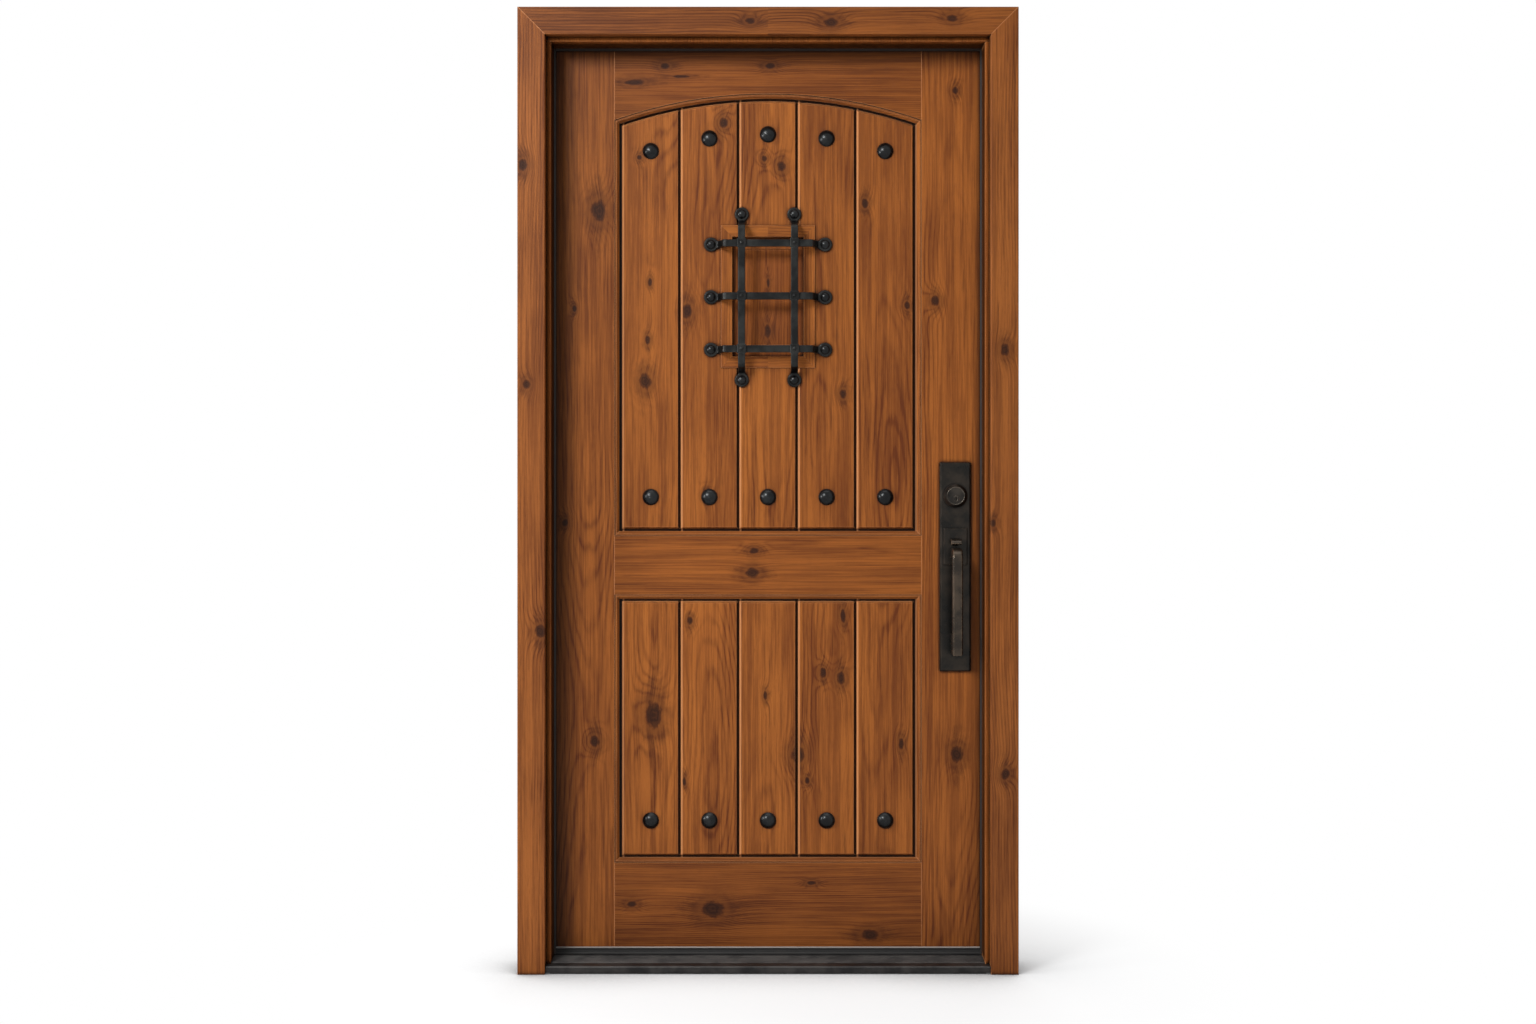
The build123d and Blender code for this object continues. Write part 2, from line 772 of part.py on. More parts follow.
def plank(outline, index, nails, has_view):
    """One plank of a panel, counted from the hinge side."""
    left = -plank_side + index * plank_pitch
    right = left + plank_pitch
    first, last = index == 0, index == plank_count - 1
    layer_left = -panel_side if first else left + edge_tongue
    layer_right = panel_side if last else right + edge_tongue
    with BuildPart() as board:
        with BuildSketch(facing_out(plank_face)):
            outline(stick_width + shadow_gap)
            with Locations(((left + right) / 2, slab_height / 2)):
                Rectangle(plank_pitch - plank_gap, 2 * slab_height, mode=Mode.INTERSECT)
        extrude(amount=-plank_thick)
        rims = board.edges().group_by(Axis.Y)
        chamfer(rims[0] + rims[-1], plank_chamfer)
        if not first:
            block(left, left + edge_tongue, tongue_front - loose_fit,
                  tongue_front + tongue_thick + loose_fit, 0, slab_top, mode=Mode.SUBTRACT)
        with BuildSketch(facing_out(tongue_front)):
            outline(stick_width - tongue_reach)
            with Locations(((layer_left + layer_right) / 2, slab_height / 2)):
                Rectangle(layer_right - layer_left, 2 * slab_height, mode=Mode.INTERSECT)
        extrude(amount=-tongue_thick)
        for x, z in nails:
            if left < x < right:
                drum((x, z), nail_shank + running_fit, plank_face, plank_face + nail_length + loose_fit,
                     mode=Mode.SUBTRACT)
        if has_view:
            lining_side = view_half_width + view_lining + loose_fit
            lining_top = view_half_height + view_lining + loose_fit
            block(-lining_side, lining_side, plank_face - 1, plank_back + 1, view_height - lining_top,
                  view_height + lining_top, mode=Mode.SUBTRACT)
            for x, z in pad_places:
                drum((x, z), pad_nail_shank + running_fit, plank_face,
                     plank_face + pad_nail_length, mode=Mode.SUBTRACT)
    return board


for number in range(plank_count):
    save(plank(lower_outline, number, lower_nails, False), f"lower_plank_{number + 1}")
    save(plank(upper_outline, number, upper_nails, True), f"upper_plank_{number + 1}")

# Mitred frame and lining of the viewing opening, and its trim on the room side


def view_ring(y0, y1, outer, inner):
    """Rectangular ring round the viewing opening; both numbers are taken from its clear edge."""
    with BuildSketch(facing_in(y0)) as ring:
        with Locations((0, view_height)):
            Rectangle(2 * (view_half_width + outer), 2 * (view_half_height + outer))
            Rectangle(2 * (view_half_width + inner), 2 * (view_half_height + inner), mode=Mode.SUBTRACT)
    extrude(ring.sketch, amount=y1 - y0)


def view_mitres(y0, y1):
    """Fine saw cut across each corner, so that the ring is four pieces."""
    for side in (-1, 1):
        for end in (-1, 1):
            corner_x = side * (view_half_width + view_band / 2)
            corner_z = view_height + end * (view_half_height + view_band / 2)
            with Locations(Location((corner_x, (y0 + y1) / 2, corner_z), (0, -45 * side * end, 0))):
                Box(4 * view_band, y1 - y0 + 2, mitre_kerf, mode=Mode.SUBTRACT)


view_stop = plank_face + view_rabbet_start
with BuildPart() as viewer_frame:
    view_ring(plank_face - view_proud, plank_face, view_band, 0)
    chamfer(viewer_frame.edges().group_by(Axis.Y)[0], view_ease)
    view_ring(plank_face, view_stop, view_lining, 0)
    view_ring(view_stop, plank_back, view_lining, view_rabbet)
    view_mitres(plank_face - view_proud, plank_back)
save(viewer_frame, "viewer_frame")

with BuildPart() as viewer_inner_trim:
    view_ring(plank_back, plank_back + view_proud, view_band, view_rabbet)
    chamfer(viewer_inner_trim.edges().group_by(Axis.Y)[-1], view_ease)
    view_mitres(plank_back, plank_back + view_proud)
save(viewer_inner_trim, "viewer_inner_trim")

# Small viewing door and its two hinges, on the room side at the left
trim_face = plank_back + view_proud
rabbet_x = view_half_width + view_rabbet
rabbet_z = view_half_height + view_rabbet
view_door_front = trim_face - view_door_thick
view_axis = (-rabbet_x, trim_face + view_barrel + view_axis_stand)
view_hinge_heights = (view_height - view_hinge_spread, view_height + view_hinge_spread)
view_door_left, view_door_right = -rabbet_x + view_door_gap, rabbet_x - view_door_swing_gap

with BuildPart() as viewer_door:
    block(view_door_left, view_door_right, view_door_front, trim_face,
          view_height - rabbet_z + view_door_gap, view_height + rabbet_z - view_door_gap)
    with BuildSketch(facing_in(view_door_front)):
        with Locations((0, view_height)):
            Rectangle(2 * (view_half_width - view_panel_inset), 2 * (view_half_height - view_panel_inset))
    extrude(amount=view_panel_sink, taper=45, mode=Mode.SUBTRACT)
save(viewer_door, "viewer_door")

view_knuckle = view_hinge_height / 3
with BuildPart() as viewer_frame_leaves:
    for height in view_hinge_heights:
        foot, top = height - view_hinge_height / 2, height + view_hinge_height / 2
        leaf_edge = -rabbet_x - view_barrel - view_leaf_gap
        block(-rabbet_x - view_leaf_width, leaf_edge, trim_face, trim_face + view_leaf, foot, top)
        for low, high in ((foot, foot + view_knuckle - view_knuckle_gap),
                          (top - view_knuckle + view_knuckle_gap, top)):
            block(leaf_edge, -rabbet_x, trim_face, trim_face + view_leaf, low, high)
            post(view_axis, view_barrel, low, high)
        post(view_axis, view_pin, foot, top)
save(viewer_frame_leaves, "viewer_frame_leaves")

with BuildPart() as viewer_door_leaves:
    for height in view_hinge_heights:
        foot, top = height - view_hinge_height / 2, height + view_hinge_height / 2
        low, high = foot + view_knuckle + view_knuckle_gap, top - view_knuckle - view_knuckle_gap
        leaf_edge = -rabbet_x + view_barrel + view_leaf_gap
        block(leaf_edge, -rabbet_x + view_leaf_width, trim_face, trim_face + view_leaf, foot, top)
        block(-rabbet_x, leaf_edge, trim_face, trim_face + view_leaf, low, high)
        post(view_axis, view_barrel, low, high)
        post(view_axis, view_pin + running_fit, foot, top, mode=Mode.SUBTRACT)
save(viewer_door_leaves, "viewer_door_leaves")

pull_place = (view_door_right - pull_inset, trim_face, view_height)
with BuildPart() as viewer_pull:
    with BuildSketch(Plane(pull_place)):
        Polygon((0, 0), (pull_radius * 0.8, 0), (pull_radius * 0.8, 2), (pull_radius * 0.4, 4),
                (pull_radius * 0.4, pull_reach * 0.4), (pull_radius, pull_reach * 0.65),
                (pull_radius, pull_reach * 0.85), (pull_radius * 0.7, pull_reach), (0, pull_reach),
                align=None)
    revolve(axis=Axis(pull_place, (0, 1, 0)))
save(viewer_pull, "viewer_pull")

# Grille: flat bars bent back to round pads on the planks


def grille_bar(pad, straight_y, to_world, pads, crossings, has_collars):
    """Flat bar swept along a bent line, with a round pad at each end and its holes."""
    bend = pad - pad_radius - bend_start
    line_points = ((-pad, pad_y), (-bend, pad_y), (-bend + bend_run, straight_y),
                   (bend - bend_run, straight_y), (bend, pad_y), (pad, pad_y))
    with BuildPart() as bar:
        with BuildLine() as spine:
            FilletPolyline(*[to_world(along, y) for along, y in line_points], radius=bend_radius)
        start = spine.line @ 0
        across = Vector(0, 1, 0)
        with BuildSketch(Plane(origin=start, x_dir=across, z_dir=spine.line % 0)):
            Polygon((-bar_thick / 2, bar_bevel - bar_width / 2), (-bar_thick / 2, bar_width / 2 - bar_bevel),
                    (bar_bevel - bar_thick / 2, bar_width / 2), (bar_thick / 2, bar_width / 2),
                    (bar_thick / 2, -bar_width / 2), (bar_bevel - bar_thick / 2, -bar_width / 2), align=None)
        sweep()
        for x, z in pads:
            drum((x, z), pad_radius, plank_face - bar_thick + bar_bevel, plank_face)
            with Locations(Location((x, plank_face - bar_thick + bar_bevel / 2, z), (90, 0, 0))):
                Cone(pad_radius, pad_radius - bar_bevel, bar_bevel)
            drum((x, z), pad_nail_shank + running_fit, plank_face - bar_thick, plank_face, mode=Mode.SUBTRACT)
        for x, z in crossings:
            if has_collars:
                block(x - collar_side / 2, x + collar_side / 2, collar_face + collar_proud,
                      upright_y + bar_thick / 2, z - collar_side / 2, z + collar_side / 2)
                with BuildSketch(facing_out(collar_face + collar_proud)) as collar:
                    with Locations((x, z)):
                        Rectangle(collar_side, collar_side)
                extrude(collar.sketch, amount=collar_proud, taper=45)
            drum((x, z), rivet_shank + running_fit, collar_face, level_y + bar_thick / 2, mode=Mode.SUBTRACT)
    return bar


for name, row in (("bottom", -1), ("middle", 0), ("top", 1)):
    height = grille_height + row * level_pitch
    save(grille_bar(level_pad, level_y, lambda along, y: (along, y, height),
                    [(side * level_pad, height) for side in (-1, 1)],
                    [(side * upright_x, height) for side in (-1, 1)], False), f"grille_bar_{name}")
for name, x in (("left", -upright_x), ("right", upright_x)):
    save(grille_bar(upright_pad, upright_y, lambda along, y: (x, y, grille_height + along),
                    [(x, grille_height + end * upright_pad) for end in (-1, 1)],
                    [(x, grille_height + row * level_pitch) for row in (-1, 0, 1)], True),
         f"grille_bar_{name}")

with BuildPart() as grille_nails:
    with Locations(*[(x, plank_face - bar_thick, z) for x, z in pad_places]):
        add(nail_body(pad_nail_radius, pad_nail_dome, 1, pad_nail_shank, pad_nail_length))
save(grille_nails, "grille_nails")

with BuildPart() as grille_rivets:
    with Locations(*[(x, collar_face, z) for x, z in cross_places]):
        add(nail_body(rivet_radius, rivet_dome, rivet_rim, rivet_shank,
                      level_y + bar_thick / 2 - collar_face))
save(grille_rivets, "grille_rivets")

# Outside handle plate with its raised latch plate
plate_face = door_face - plate_thick
raised_face = plate_face - raised_thick
thumb_axis = (plate_face + thumb_pivot_sink, thumb_height)
plug_centre = (bore_x + plug_shift, lock_height - plug_drop)


def thumb_slot(y0, y1):
    """Slot that the thumb piece passes and rocks in."""
    block(bore_x - thumb_neck / 2 - slot_room, bore_x + thumb_neck / 2 + slot_room, y0, y1,
          thumb_height - slot_down, thumb_height + slot_up, mode=Mode.SUBTRACT)


with BuildPart() as handle_plate:
    block(bore_x - plate_width / 2, bore_x + plate_width / 2, plate_face, door_face, plate_foot, plate_top)
    chamfer(handle_plate.edges().group_by(Axis.Y)[0], plate_bevel)
    drum((bore_x, lock_height), housing_body + loose_fit, plate_face, door_face, mode=Mode.SUBTRACT)
    thumb_slot(plate_face, door_face)
    side_drum(thumb_axis, thumb_trunnion + running_fit, bore_x - thumb_neck / 2 - slot_room - 2,
              bore_x + thumb_neck / 2 + slot_room + 2, mode=Mode.SUBTRACT)
save(handle_plate, "handle_plate")

with BuildPart() as latch_plate:
    block(bore_x - raised_width / 2, bore_x + raised_width / 2, raised_face, plate_face,
          raised_foot, raised_top)
    chamfer(latch_plate.edges().group_by(Axis.Y)[0], raised_bevel)
    thumb_slot(raised_face, plate_face)
save(latch_plate, "latch_plate")

# Grip: bent out of the latch plate and back to a tall foot
grip_front = plate_face - grip_reach
grip_back = grip_front + grip_thick
with BuildPart() as grip_handle:
    with BuildSketch(Plane.YZ.offset(bore_x - grip_width / 2)):
        middle = (grip_top + grip_foot) / 2
        with BuildLine():
            Polyline((grip_front, grip_top), (raised_face, grip_top), (raised_face, grip_top - grip_arm),
                     (grip_back, grip_top - grip_arm))
            ThreePointArc((grip_back, grip_top - grip_arm), (grip_back - grip_bow, middle),
                          (grip_back, grip_foot + grip_foot_height))
            Polyline((grip_back, grip_foot + grip_foot_height), (plate_face, grip_foot + grip_foot_height),
                     (plate_face, grip_foot), (grip_front, grip_foot))
            ThreePointArc((grip_front, grip_foot), (grip_front - grip_bow, middle), (grip_front, grip_top))
        grip_side = make_face()
        free_corners = grip_side.vertices().filter_by(lambda corner: corner.X < raised_face - 1)
        toe, *inner, shoulder = free_corners.sort_by(Axis.Y)
        fillet(shoulder, grip_shoulder)
        fillet(inner, grip_inner)
        chamfer(toe, grip_toe)
    extrude(amount=grip_width)
    outer_edges = grip_handle.edges().filter_by(
        lambda edge: abs(edge.center().X - bore_x) > grip_width / 2 - 0.1
        and (edge.center().Y < grip_front + 2 or edge.center().Z > grip_top - grip_shoulder / 2
             or edge.center().Z < grip_foot + grip_toe - 0.1) and edge.length > 1
        and edge.center().Y < raised_face - 1)
    chamfer(outer_edges, grip_bevel)
save(grip_handle, "grip_handle")

# Thumb piece: a curved pad outside, a neck through both plates and a tail in the bore
with BuildPart() as thumb_piece:
    with BuildSketch(Plane.YZ.offset(bore_x - thumb_width / 2)):
        with BuildLine():
            tip = raised_face - thumb_reach
            root = raised_face - thumb_stand
            Line((root, thumb_height + 2), (root, thumb_height + 2 - thumb_thick))
            ThreePointArc((root, thumb_height + 2 - thumb_thick), (tip + 12, thumb_height + 3 - thumb_thick),
                          (tip + 2, thumb_height - 7))
            Line((tip + 2, thumb_height - 7), (tip, thumb_height - 4))
            ThreePointArc((tip, thumb_height - 4), (tip + 11, thumb_height + 6), (root, thumb_height + 2))
        make_face()
    extrude(amount=thumb_width)
    block(bore_x - thumb_neck / 2, bore_x + thumb_neck / 2, raised_face - 2, thumb_axis[0] + 3,
          thumb_height - 2, thumb_height + 2)
    with BuildSketch(Plane.YZ.offset(bore_x - thumb_neck / 2 + 1)):
        Polygon((thumb_axis[0] - 2, thumb_height - 2), (thumb_axis[0] + 2, thumb_height + 2),
                (slab_middle - 9, thumb_height - 6), (slab_middle - 9, thumb_height - 10), align=None)
    extrude(amount=thumb_neck - 2)
    side_drum(thumb_axis, thumb_trunnion, bore_x - thumb_neck / 2 - slot_room - 1.5,
              bore_x + thumb_neck / 2 + slot_room + 1.5)
save(thumb_piece, "thumb_piece")

# Deadbolt cylinder: bevelled housing, off-centre plug
housing_place = (bore_x, plate_face, lock_height)
with BuildPart() as cylinder_housing:
    with BuildSketch(Plane(housing_place)):
        Polygon((0, -housing_reach + housing_sink),
                (housing_face - housing_lip, -housing_reach + housing_sink),
                (housing_face - housing_lip, -housing_reach), (housing_face, -housing_reach),
                (housing_radius, -housing_reach + housing_slope), (housing_radius, 0), (housing_body, 0),
                (housing_body, plate_thick + housing_tail), (0, plate_thick + housing_tail), align=None)
    revolve(axis=Axis(housing_place, (0, 1, 0)))
    drum(plug_centre, plug_radius + running_fit, plate_face - housing_reach - 1,
         plate_face + plate_thick + housing_tail + 1, mode=Mode.SUBTRACT)
save(cylinder_housing, "cylinder_housing")

plug_face = plate_face - housing_reach + housing_sink - plug_stand
with BuildPart() as cylinder_plug:
    drum(plug_centre, plug_radius, plug_face, door_face + housing_tail)
    drum(plug_centre, tail_radius, door_face + housing_tail, slab_middle - tail_gap)
    block(plug_centre[0] - key_slot_width / 2, plug_centre[0] + key_slot_width / 2, plug_face,
          plug_face + key_slot_depth, plug_centre[1] - key_slot_height / 2,
          plug_centre[1] + key_slot_height / 2, mode=Mode.SUBTRACT)
save(cylinder_plug, "cylinder_plug")

# Bolt cases in the lock stile: face plate, tube and two open cheeks


def bolt_case(height, width, tall, hub, hub_radius_in):
    """Case of one bolt, open between its cheeks where the turning hub passes."""
    with BuildPart() as case:
        block(slab_side - face_plate_thick, slab_side, slab_middle - face_plate_width / 2,
              slab_middle + face_plate_width / 2, height - face_plate_height / 2,
              height + face_plate_height / 2)
        tube_end = bore_x + cross_bore + 1
        side_drum((slab_middle, height), edge_bore - pocket_fit, tube_end, slab_side - face_plate_thick)
        side_drum((slab_middle, height), edge_bore - pocket_fit - case_wall, tube_end,
                  slab_side - face_plate_thick, mode=Mode.SUBTRACT)
        for side in (-1, 1):
            inner = slab_middle + side * cheek_gap / 2
            block(tube_end + 4 - cheek_length, tube_end + 4, inner, inner + side * cheek_thick,
                  height - cheek_height / 2 + 6, height + cheek_height / 2 - 6)
            drum(hub, cheek_height / 2 - 2, min(inner, inner + side * cheek_thick),
                 max(inner, inner + side * cheek_thick))
        block(slab_side - face_plate_thick - 1, slab_side + 1, slab_middle - width / 2 - pocket_fit,
              slab_middle + width / 2 + pocket_fit, height - tall / 2 - pocket_fit,
              height + tall / 2 + pocket_fit, mode=Mode.SUBTRACT)
        drum(hub, hub_radius_in + running_fit, door_face, room_face, mode=Mode.SUBTRACT)
    return case.part


with BuildPart() as bolt_cases:
    add(bolt_case(lock_height, dead_width, dead_height, plug_centre, tail_radius))
    add(bolt_case(latch_height, latch_width, latch_bolt_height, (bore_x, latch_height), spindle_radius))
save(bolt_cases, "bolt_cases")

with BuildPart() as deadbolt:
    block(slab_side - bolt_length, slab_side - bolt_inset, slab_middle - dead_width / 2,
          slab_middle + dead_width / 2, lock_height - dead_height / 2, lock_height + dead_height / 2)
    fillet(deadbolt.edges().filter_by(Axis.X), 2)
    block(bore_x + 12, slab_side - bolt_length + 1, slab_middle - 2, slab_middle + 2, lock_height,
          lock_height + 6)
save(deadbolt, "deadbolt")

with BuildPart() as latch_bolt:
    nose = slab_side + latch_throw
    with BuildSketch(Plane.XY.offset(latch_height - latch_bolt_height / 2)):
        Polygon((slab_side - bolt_length + latch_throw, slab_middle - latch_width / 2),
                (slab_side + 0.5, slab_middle - latch_width / 2), (nose, slab_middle + latch_width / 2 - 3),
                (nose, slab_middle + latch_width / 2),
                (slab_side - bolt_length + latch_throw, slab_middle + latch_width / 2), align=None)
    extrude(amount=latch_bolt_height)
    block(bore_x + 18, slab_side - bolt_length + latch_throw + 1, slab_middle - 2, slab_middle + 2,
          latch_height - 3, latch_height + 3)
save(latch_bolt, "latch_bolt")

# Inside plate, turn piece and lever
inside_face = room_face + inside_plate_thick
with BuildPart() as inside_plate:
    block(bore_x - plate_width / 2, bore_x + plate_width / 2, room_face, inside_face, inside_plate_foot,
          inside_plate_top)
    chamfer(inside_plate.edges().group_by(Axis.Y)[-1], plate_bevel)
    drum(plug_centre, tail_radius + running_fit, room_face, inside_face, mode=Mode.SUBTRACT)
    drum((bore_x, latch_height), spindle_radius + running_fit, room_face, inside_face, mode=Mode.SUBTRACT)
save(inside_plate, "inside_plate")

with BuildPart() as thumbturn:
    drum(plug_centre, tail_radius, slab_middle + tail_gap, inside_face + hub_gap)
    drum(plug_centre, turn_hub, inside_face + hub_gap, inside_face + turn_hub_reach)
    with BuildSketch(facing_in(inside_face + turn_hub_reach)):
        with Locations((-plug_centre[0], plug_centre[1])):
            SlotOverall(turn_height, turn_width, rotation=90)
    extrude(amount=turn_reach)
    chamfer(thumbturn.edges().group_by(Axis.Y)[-1], 2)
save(thumbturn, "thumbturn")

with BuildPart() as inside_lever:
    drum((bore_x, latch_height), spindle_radius, slab_middle - 6, inside_face + hub_gap)
    drum((bore_x, latch_height), hub_radius, inside_face + hub_gap, inside_face + hub_reach)
    with BuildSketch(Plane.XY.offset(latch_height - lever_height / 2)):
        lever_y = inside_face + hub_reach
        with BuildLine():
            Polyline((bore_x + 9, lever_y - 3), (bore_x + 9, lever_y + lever_thick - 4),
                     (bore_x + 4, lever_y + lever_thick), (bore_x - 30, lever_y + lever_thick))
            Spline((bore_x - 30, lever_y + lever_thick), (bore_x - 75, lever_y + lever_thick + 2),
                   (bore_x - lever_length, lever_y - 4), tangents=((-1, 0), (-1, -0.6)))
            Line((bore_x - lever_length, lever_y - 4), (bore_x - lever_length + 5, lever_y - 13))
            Spline((bore_x - lever_length + 5, lever_y - 13), (bore_x - 75, lever_y - 8),
                   (bore_x - 30, lever_y - 1), tangents=((1, 0.5), (1, 0)))
            Polyline((bore_x - 30, lever_y - 1), (bore_x - 9, lever_y - 3), (bore_x + 9, lever_y - 3))
        make_face()
    extrude(amount=lever_height)
save(inside_lever, "inside_lever")

# Door sweep: carrier with a drip nose between the seals, and three fins over the cap
sweep_top = slab_foot
sweep_foot = cap_foot + cap_height + sweep_clear
drip_side = daylight - seal_show - 1
with BuildPart() as door_sweep:
    with BuildSketch(Plane.YZ.offset(-slab_side + sweep_inset)):
        with Locations((slab_middle, sweep_top - sweep_body / 2)):
            Rectangle(slab_thick - 2 * sweep_inset, sweep_body)
        fin_room = slab_thick - 2 * sweep_inset - fin_width
        for fin in range(fin_count):
            with Locations((door_face + sweep_inset + fin_width / 2 + fin * fin_room / (fin_count - 1),
                            (sweep_top + sweep_foot) / 2)):
                Rectangle(fin_width, sweep_top - sweep_foot)
    extrude(amount=slab_width - 2 * sweep_inset)
    with BuildSketch(Plane.YZ.offset(-drip_side)) as drip:
        with Locations((door_face + (sweep_inset - drip_reach) / 2, sweep_top - drip_height / 2)):
            Rectangle(sweep_inset + drip_reach, drip_height)
        fillet(drip.vertices().group_by(Axis.X)[0], drip_height / 2 - 0.3)
    extrude(amount=2 * drip_side)
save(door_sweep, "door_sweep")
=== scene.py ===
"""Looks of a knotty plank entry door in its frame: stained wood, forged iron, bronze and a ribbed sill."""

import logging
import math
from dataclasses import dataclass
from enum import Enum
from typing import Sequence, Union

import bmesh
import bpy
import numpy as np
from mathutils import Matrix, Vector


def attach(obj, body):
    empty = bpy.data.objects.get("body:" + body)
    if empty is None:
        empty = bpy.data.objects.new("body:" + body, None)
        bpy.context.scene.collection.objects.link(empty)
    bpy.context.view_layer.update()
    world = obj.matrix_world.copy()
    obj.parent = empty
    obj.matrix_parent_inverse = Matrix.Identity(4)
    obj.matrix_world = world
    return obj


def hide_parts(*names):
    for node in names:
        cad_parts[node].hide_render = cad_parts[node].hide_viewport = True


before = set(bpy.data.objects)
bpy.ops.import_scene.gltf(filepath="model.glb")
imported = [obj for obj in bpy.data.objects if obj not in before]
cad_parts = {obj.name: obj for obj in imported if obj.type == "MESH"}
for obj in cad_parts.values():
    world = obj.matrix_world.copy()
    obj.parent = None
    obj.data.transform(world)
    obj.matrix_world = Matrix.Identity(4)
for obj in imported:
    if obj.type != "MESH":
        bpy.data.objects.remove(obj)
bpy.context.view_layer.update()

log = logging.getLogger("entry_door")

Colour = tuple[float, float, float, float]
Span = tuple[float, float]
Socket = bpy.types.NodeSocket
Value = Union[float, Sequence[float], Socket]


def tint(red: int, green: int, blue: int) -> Colour:
    """Linear colour of an sRGB triple.

    Args:
        red: red from 0 to 255.
        green: green from 0 to 255.
        blue: blue from 0 to 255.

    Returns:
        The linear colour with full alpha.
    """
    parts = np.array([red, green, blue]) / 255
    linear = np.where(parts <= 0.04045, parts / 12.92, ((parts + 0.055) / 1.055) ** 2.4)
    return (*map(float, linear), 1.0)


class Wiring:
    """Adds and links shader nodes in one tree."""

    def __init__(self, tree: bpy.types.NodeTree) -> None:
        """Keeps the tree that nodes are added to."""
        self.tree = tree

    def node(self, kind: str, **settings: object) -> bpy.types.Node:
        """Adds a node.

        Args:
            kind: the node's type name without its ShaderNode prefix.
            **settings: properties to set on it.

        Returns:
            The new node.
        """
        made = self.tree.nodes.new(f"ShaderNode{kind}")
        for name, value in settings.items():
            setattr(made, name, value)
        return made

    def feed(self, socket: Socket, value: Value) -> None:
        """Links a socket to another, or sets its value.

        Args:
            socket: the input that is fed.
            value: the output to link, or a constant.
        """
        if isinstance(value, bpy.types.NodeSocket):
            self.tree.links.new(value, socket)
        else:
            socket.default_value = value

    def math(self, operation: str, *values: Value, clamp: bool = False) -> Socket:
        """Adds a Math node.

        Args:
            operation: what it works out.
            *values: up to three values.
            clamp: whether the result is kept between 0 and 1.

        Returns:
            The result.
        """
        made = self.node("Math", operation=operation, use_clamp=clamp)
        for socket, value in zip(made.inputs, values):
            self.feed(socket, value)
        return made.outputs[0]

    def plus(self, first: Value, second: Value) -> Socket:
        """Sum of two values."""
        return self.math("ADD", first, second)

    def minus(self, first: Value, second: Value) -> Socket:
        """First value less the second."""
        return self.math("SUBTRACT", first, second)

    def times(self, first: Value, second: Value) -> Socket:
        """Product of two values."""
        return self.math("MULTIPLY", first, second)

    def times_plus(self, value: Value, factor: Value, added: Value) -> Socket:
        """Value times a factor, with another value added."""
        return self.math("MULTIPLY_ADD", value, factor, added)

    def most(self, first: Value, second: Value) -> Socket:
        """Larger of two values."""
        return self.math("MAXIMUM", first, second)

    def far(self, first: Value, second: Value) -> Socket:
        """Distance whose two level parts are given: the root of the sum of their squares."""
        return self.math("SQRT", self.plus(self.times(first, first), self.times(second, second)))

    def mix(self, amount: Value, first: Value, second: Value) -> Socket:
        """Adds a colour Mix node.

        Args:
            amount: how much of the second colour shows.
            first: the first colour.
            second: the second colour.

        Returns:
            The mixed colour.
        """
        made = self.node("Mix", data_type="RGBA", clamp_factor=True)
        self.feed(made.inputs["Factor"], amount)
        colours = [socket for socket in made.inputs if socket.type == "RGBA"]
        self.feed(colours[0], first)
        self.feed(colours[1], second)
        return next(socket for socket in made.outputs if socket.type == "RGBA")

    def layer(self, under: Value, mask: Value, share: float, over: Value) -> Socket:
        """Colour laid over another where a mask is, at a share of the mask's strength."""
        return self.mix(self.times(mask, share), under, over)

    def remap(self, value: Value, low: float, high: float, out_low: float = 0.0, out_high: float = 1.0,
              smooth: bool = True) -> Socket:
        """Carries a value from one range to another, clamped at both ends.

        Args:
            value: the value.
            low: the end of its range that gives out_low.
            high: the end of its range that gives out_high.
            out_low: the result at the low end.
            out_high: the result at the high end.
            smooth: whether the way between is a smooth step or a straight line.

        Returns:
            The result.
        """
        made = self.node("MapRange", clamp=True, interpolation_type="SMOOTHSTEP" if smooth else "LINEAR")
        for name, number in (("From Min", low), ("From Max", high), ("To Min", out_low), ("To Max", out_high)):
            made.inputs[name].default_value = number
        self.feed(made.inputs["Value"], value)
        return made.outputs["Result"]

    def vector(self, x: Value, y: Value, z: Value) -> Socket:
        """Joins three values.

        Args:
            x: the first part.
            y: the second part.
            z: the third part.

        Returns:
            The vector.
        """
        made = self.node("CombineXYZ")
        for socket, value in zip(made.inputs, (x, y, z)):
            self.feed(socket, value)
        return made.outputs[0]

    def noise(self, place: Value, scale: float, detail: float = 3.0, roughness: float = 0.5) -> Socket:
        """Adds a noise texture.

        Args:
            place: where it is read.
            scale: its scale.
            detail: the number of its finer layers.
            roughness: how strong each finer layer is.

        Returns:
            Its value.
        """
        made = self.node("TexNoise", noise_dimensions="3D")
        made.inputs["Scale"].default_value = scale
        made.inputs["Detail"].default_value = detail
        made.inputs["Roughness"].default_value = roughness
        self.feed(made.inputs["Vector"], place)
        return made.outputs["Fac"]

    def spot(self) -> Socket:
        """Object coordinates of the shaded point."""
        return self.node("TexCoord").outputs["Object"]

    def place(self) -> tuple[Socket, Socket, Socket]:
        """Splits the object coordinates.

        Returns:
            Object X, Y and Z of the shaded point.
        """
        split = self.node("SeparateXYZ")
        self.feed(split.inputs[0], self.spot())
        return split.outputs[0], split.outputs[1], split.outputs[2]

    def group(self, tree: bpy.types.NodeTree, **values: Value) -> bpy.types.Node:
        """Places a group and feeds its inputs.

        Args:
            tree: the group.
            **values: its inputs' values, with spaces in their names written as underscores.

        Returns:
            The group's node.
        """
        made = self.node("Group")
        made.node_tree = tree
        for name, value in values.items():
            self.feed(made.inputs[name.replace("_", " ")], value)
        return made


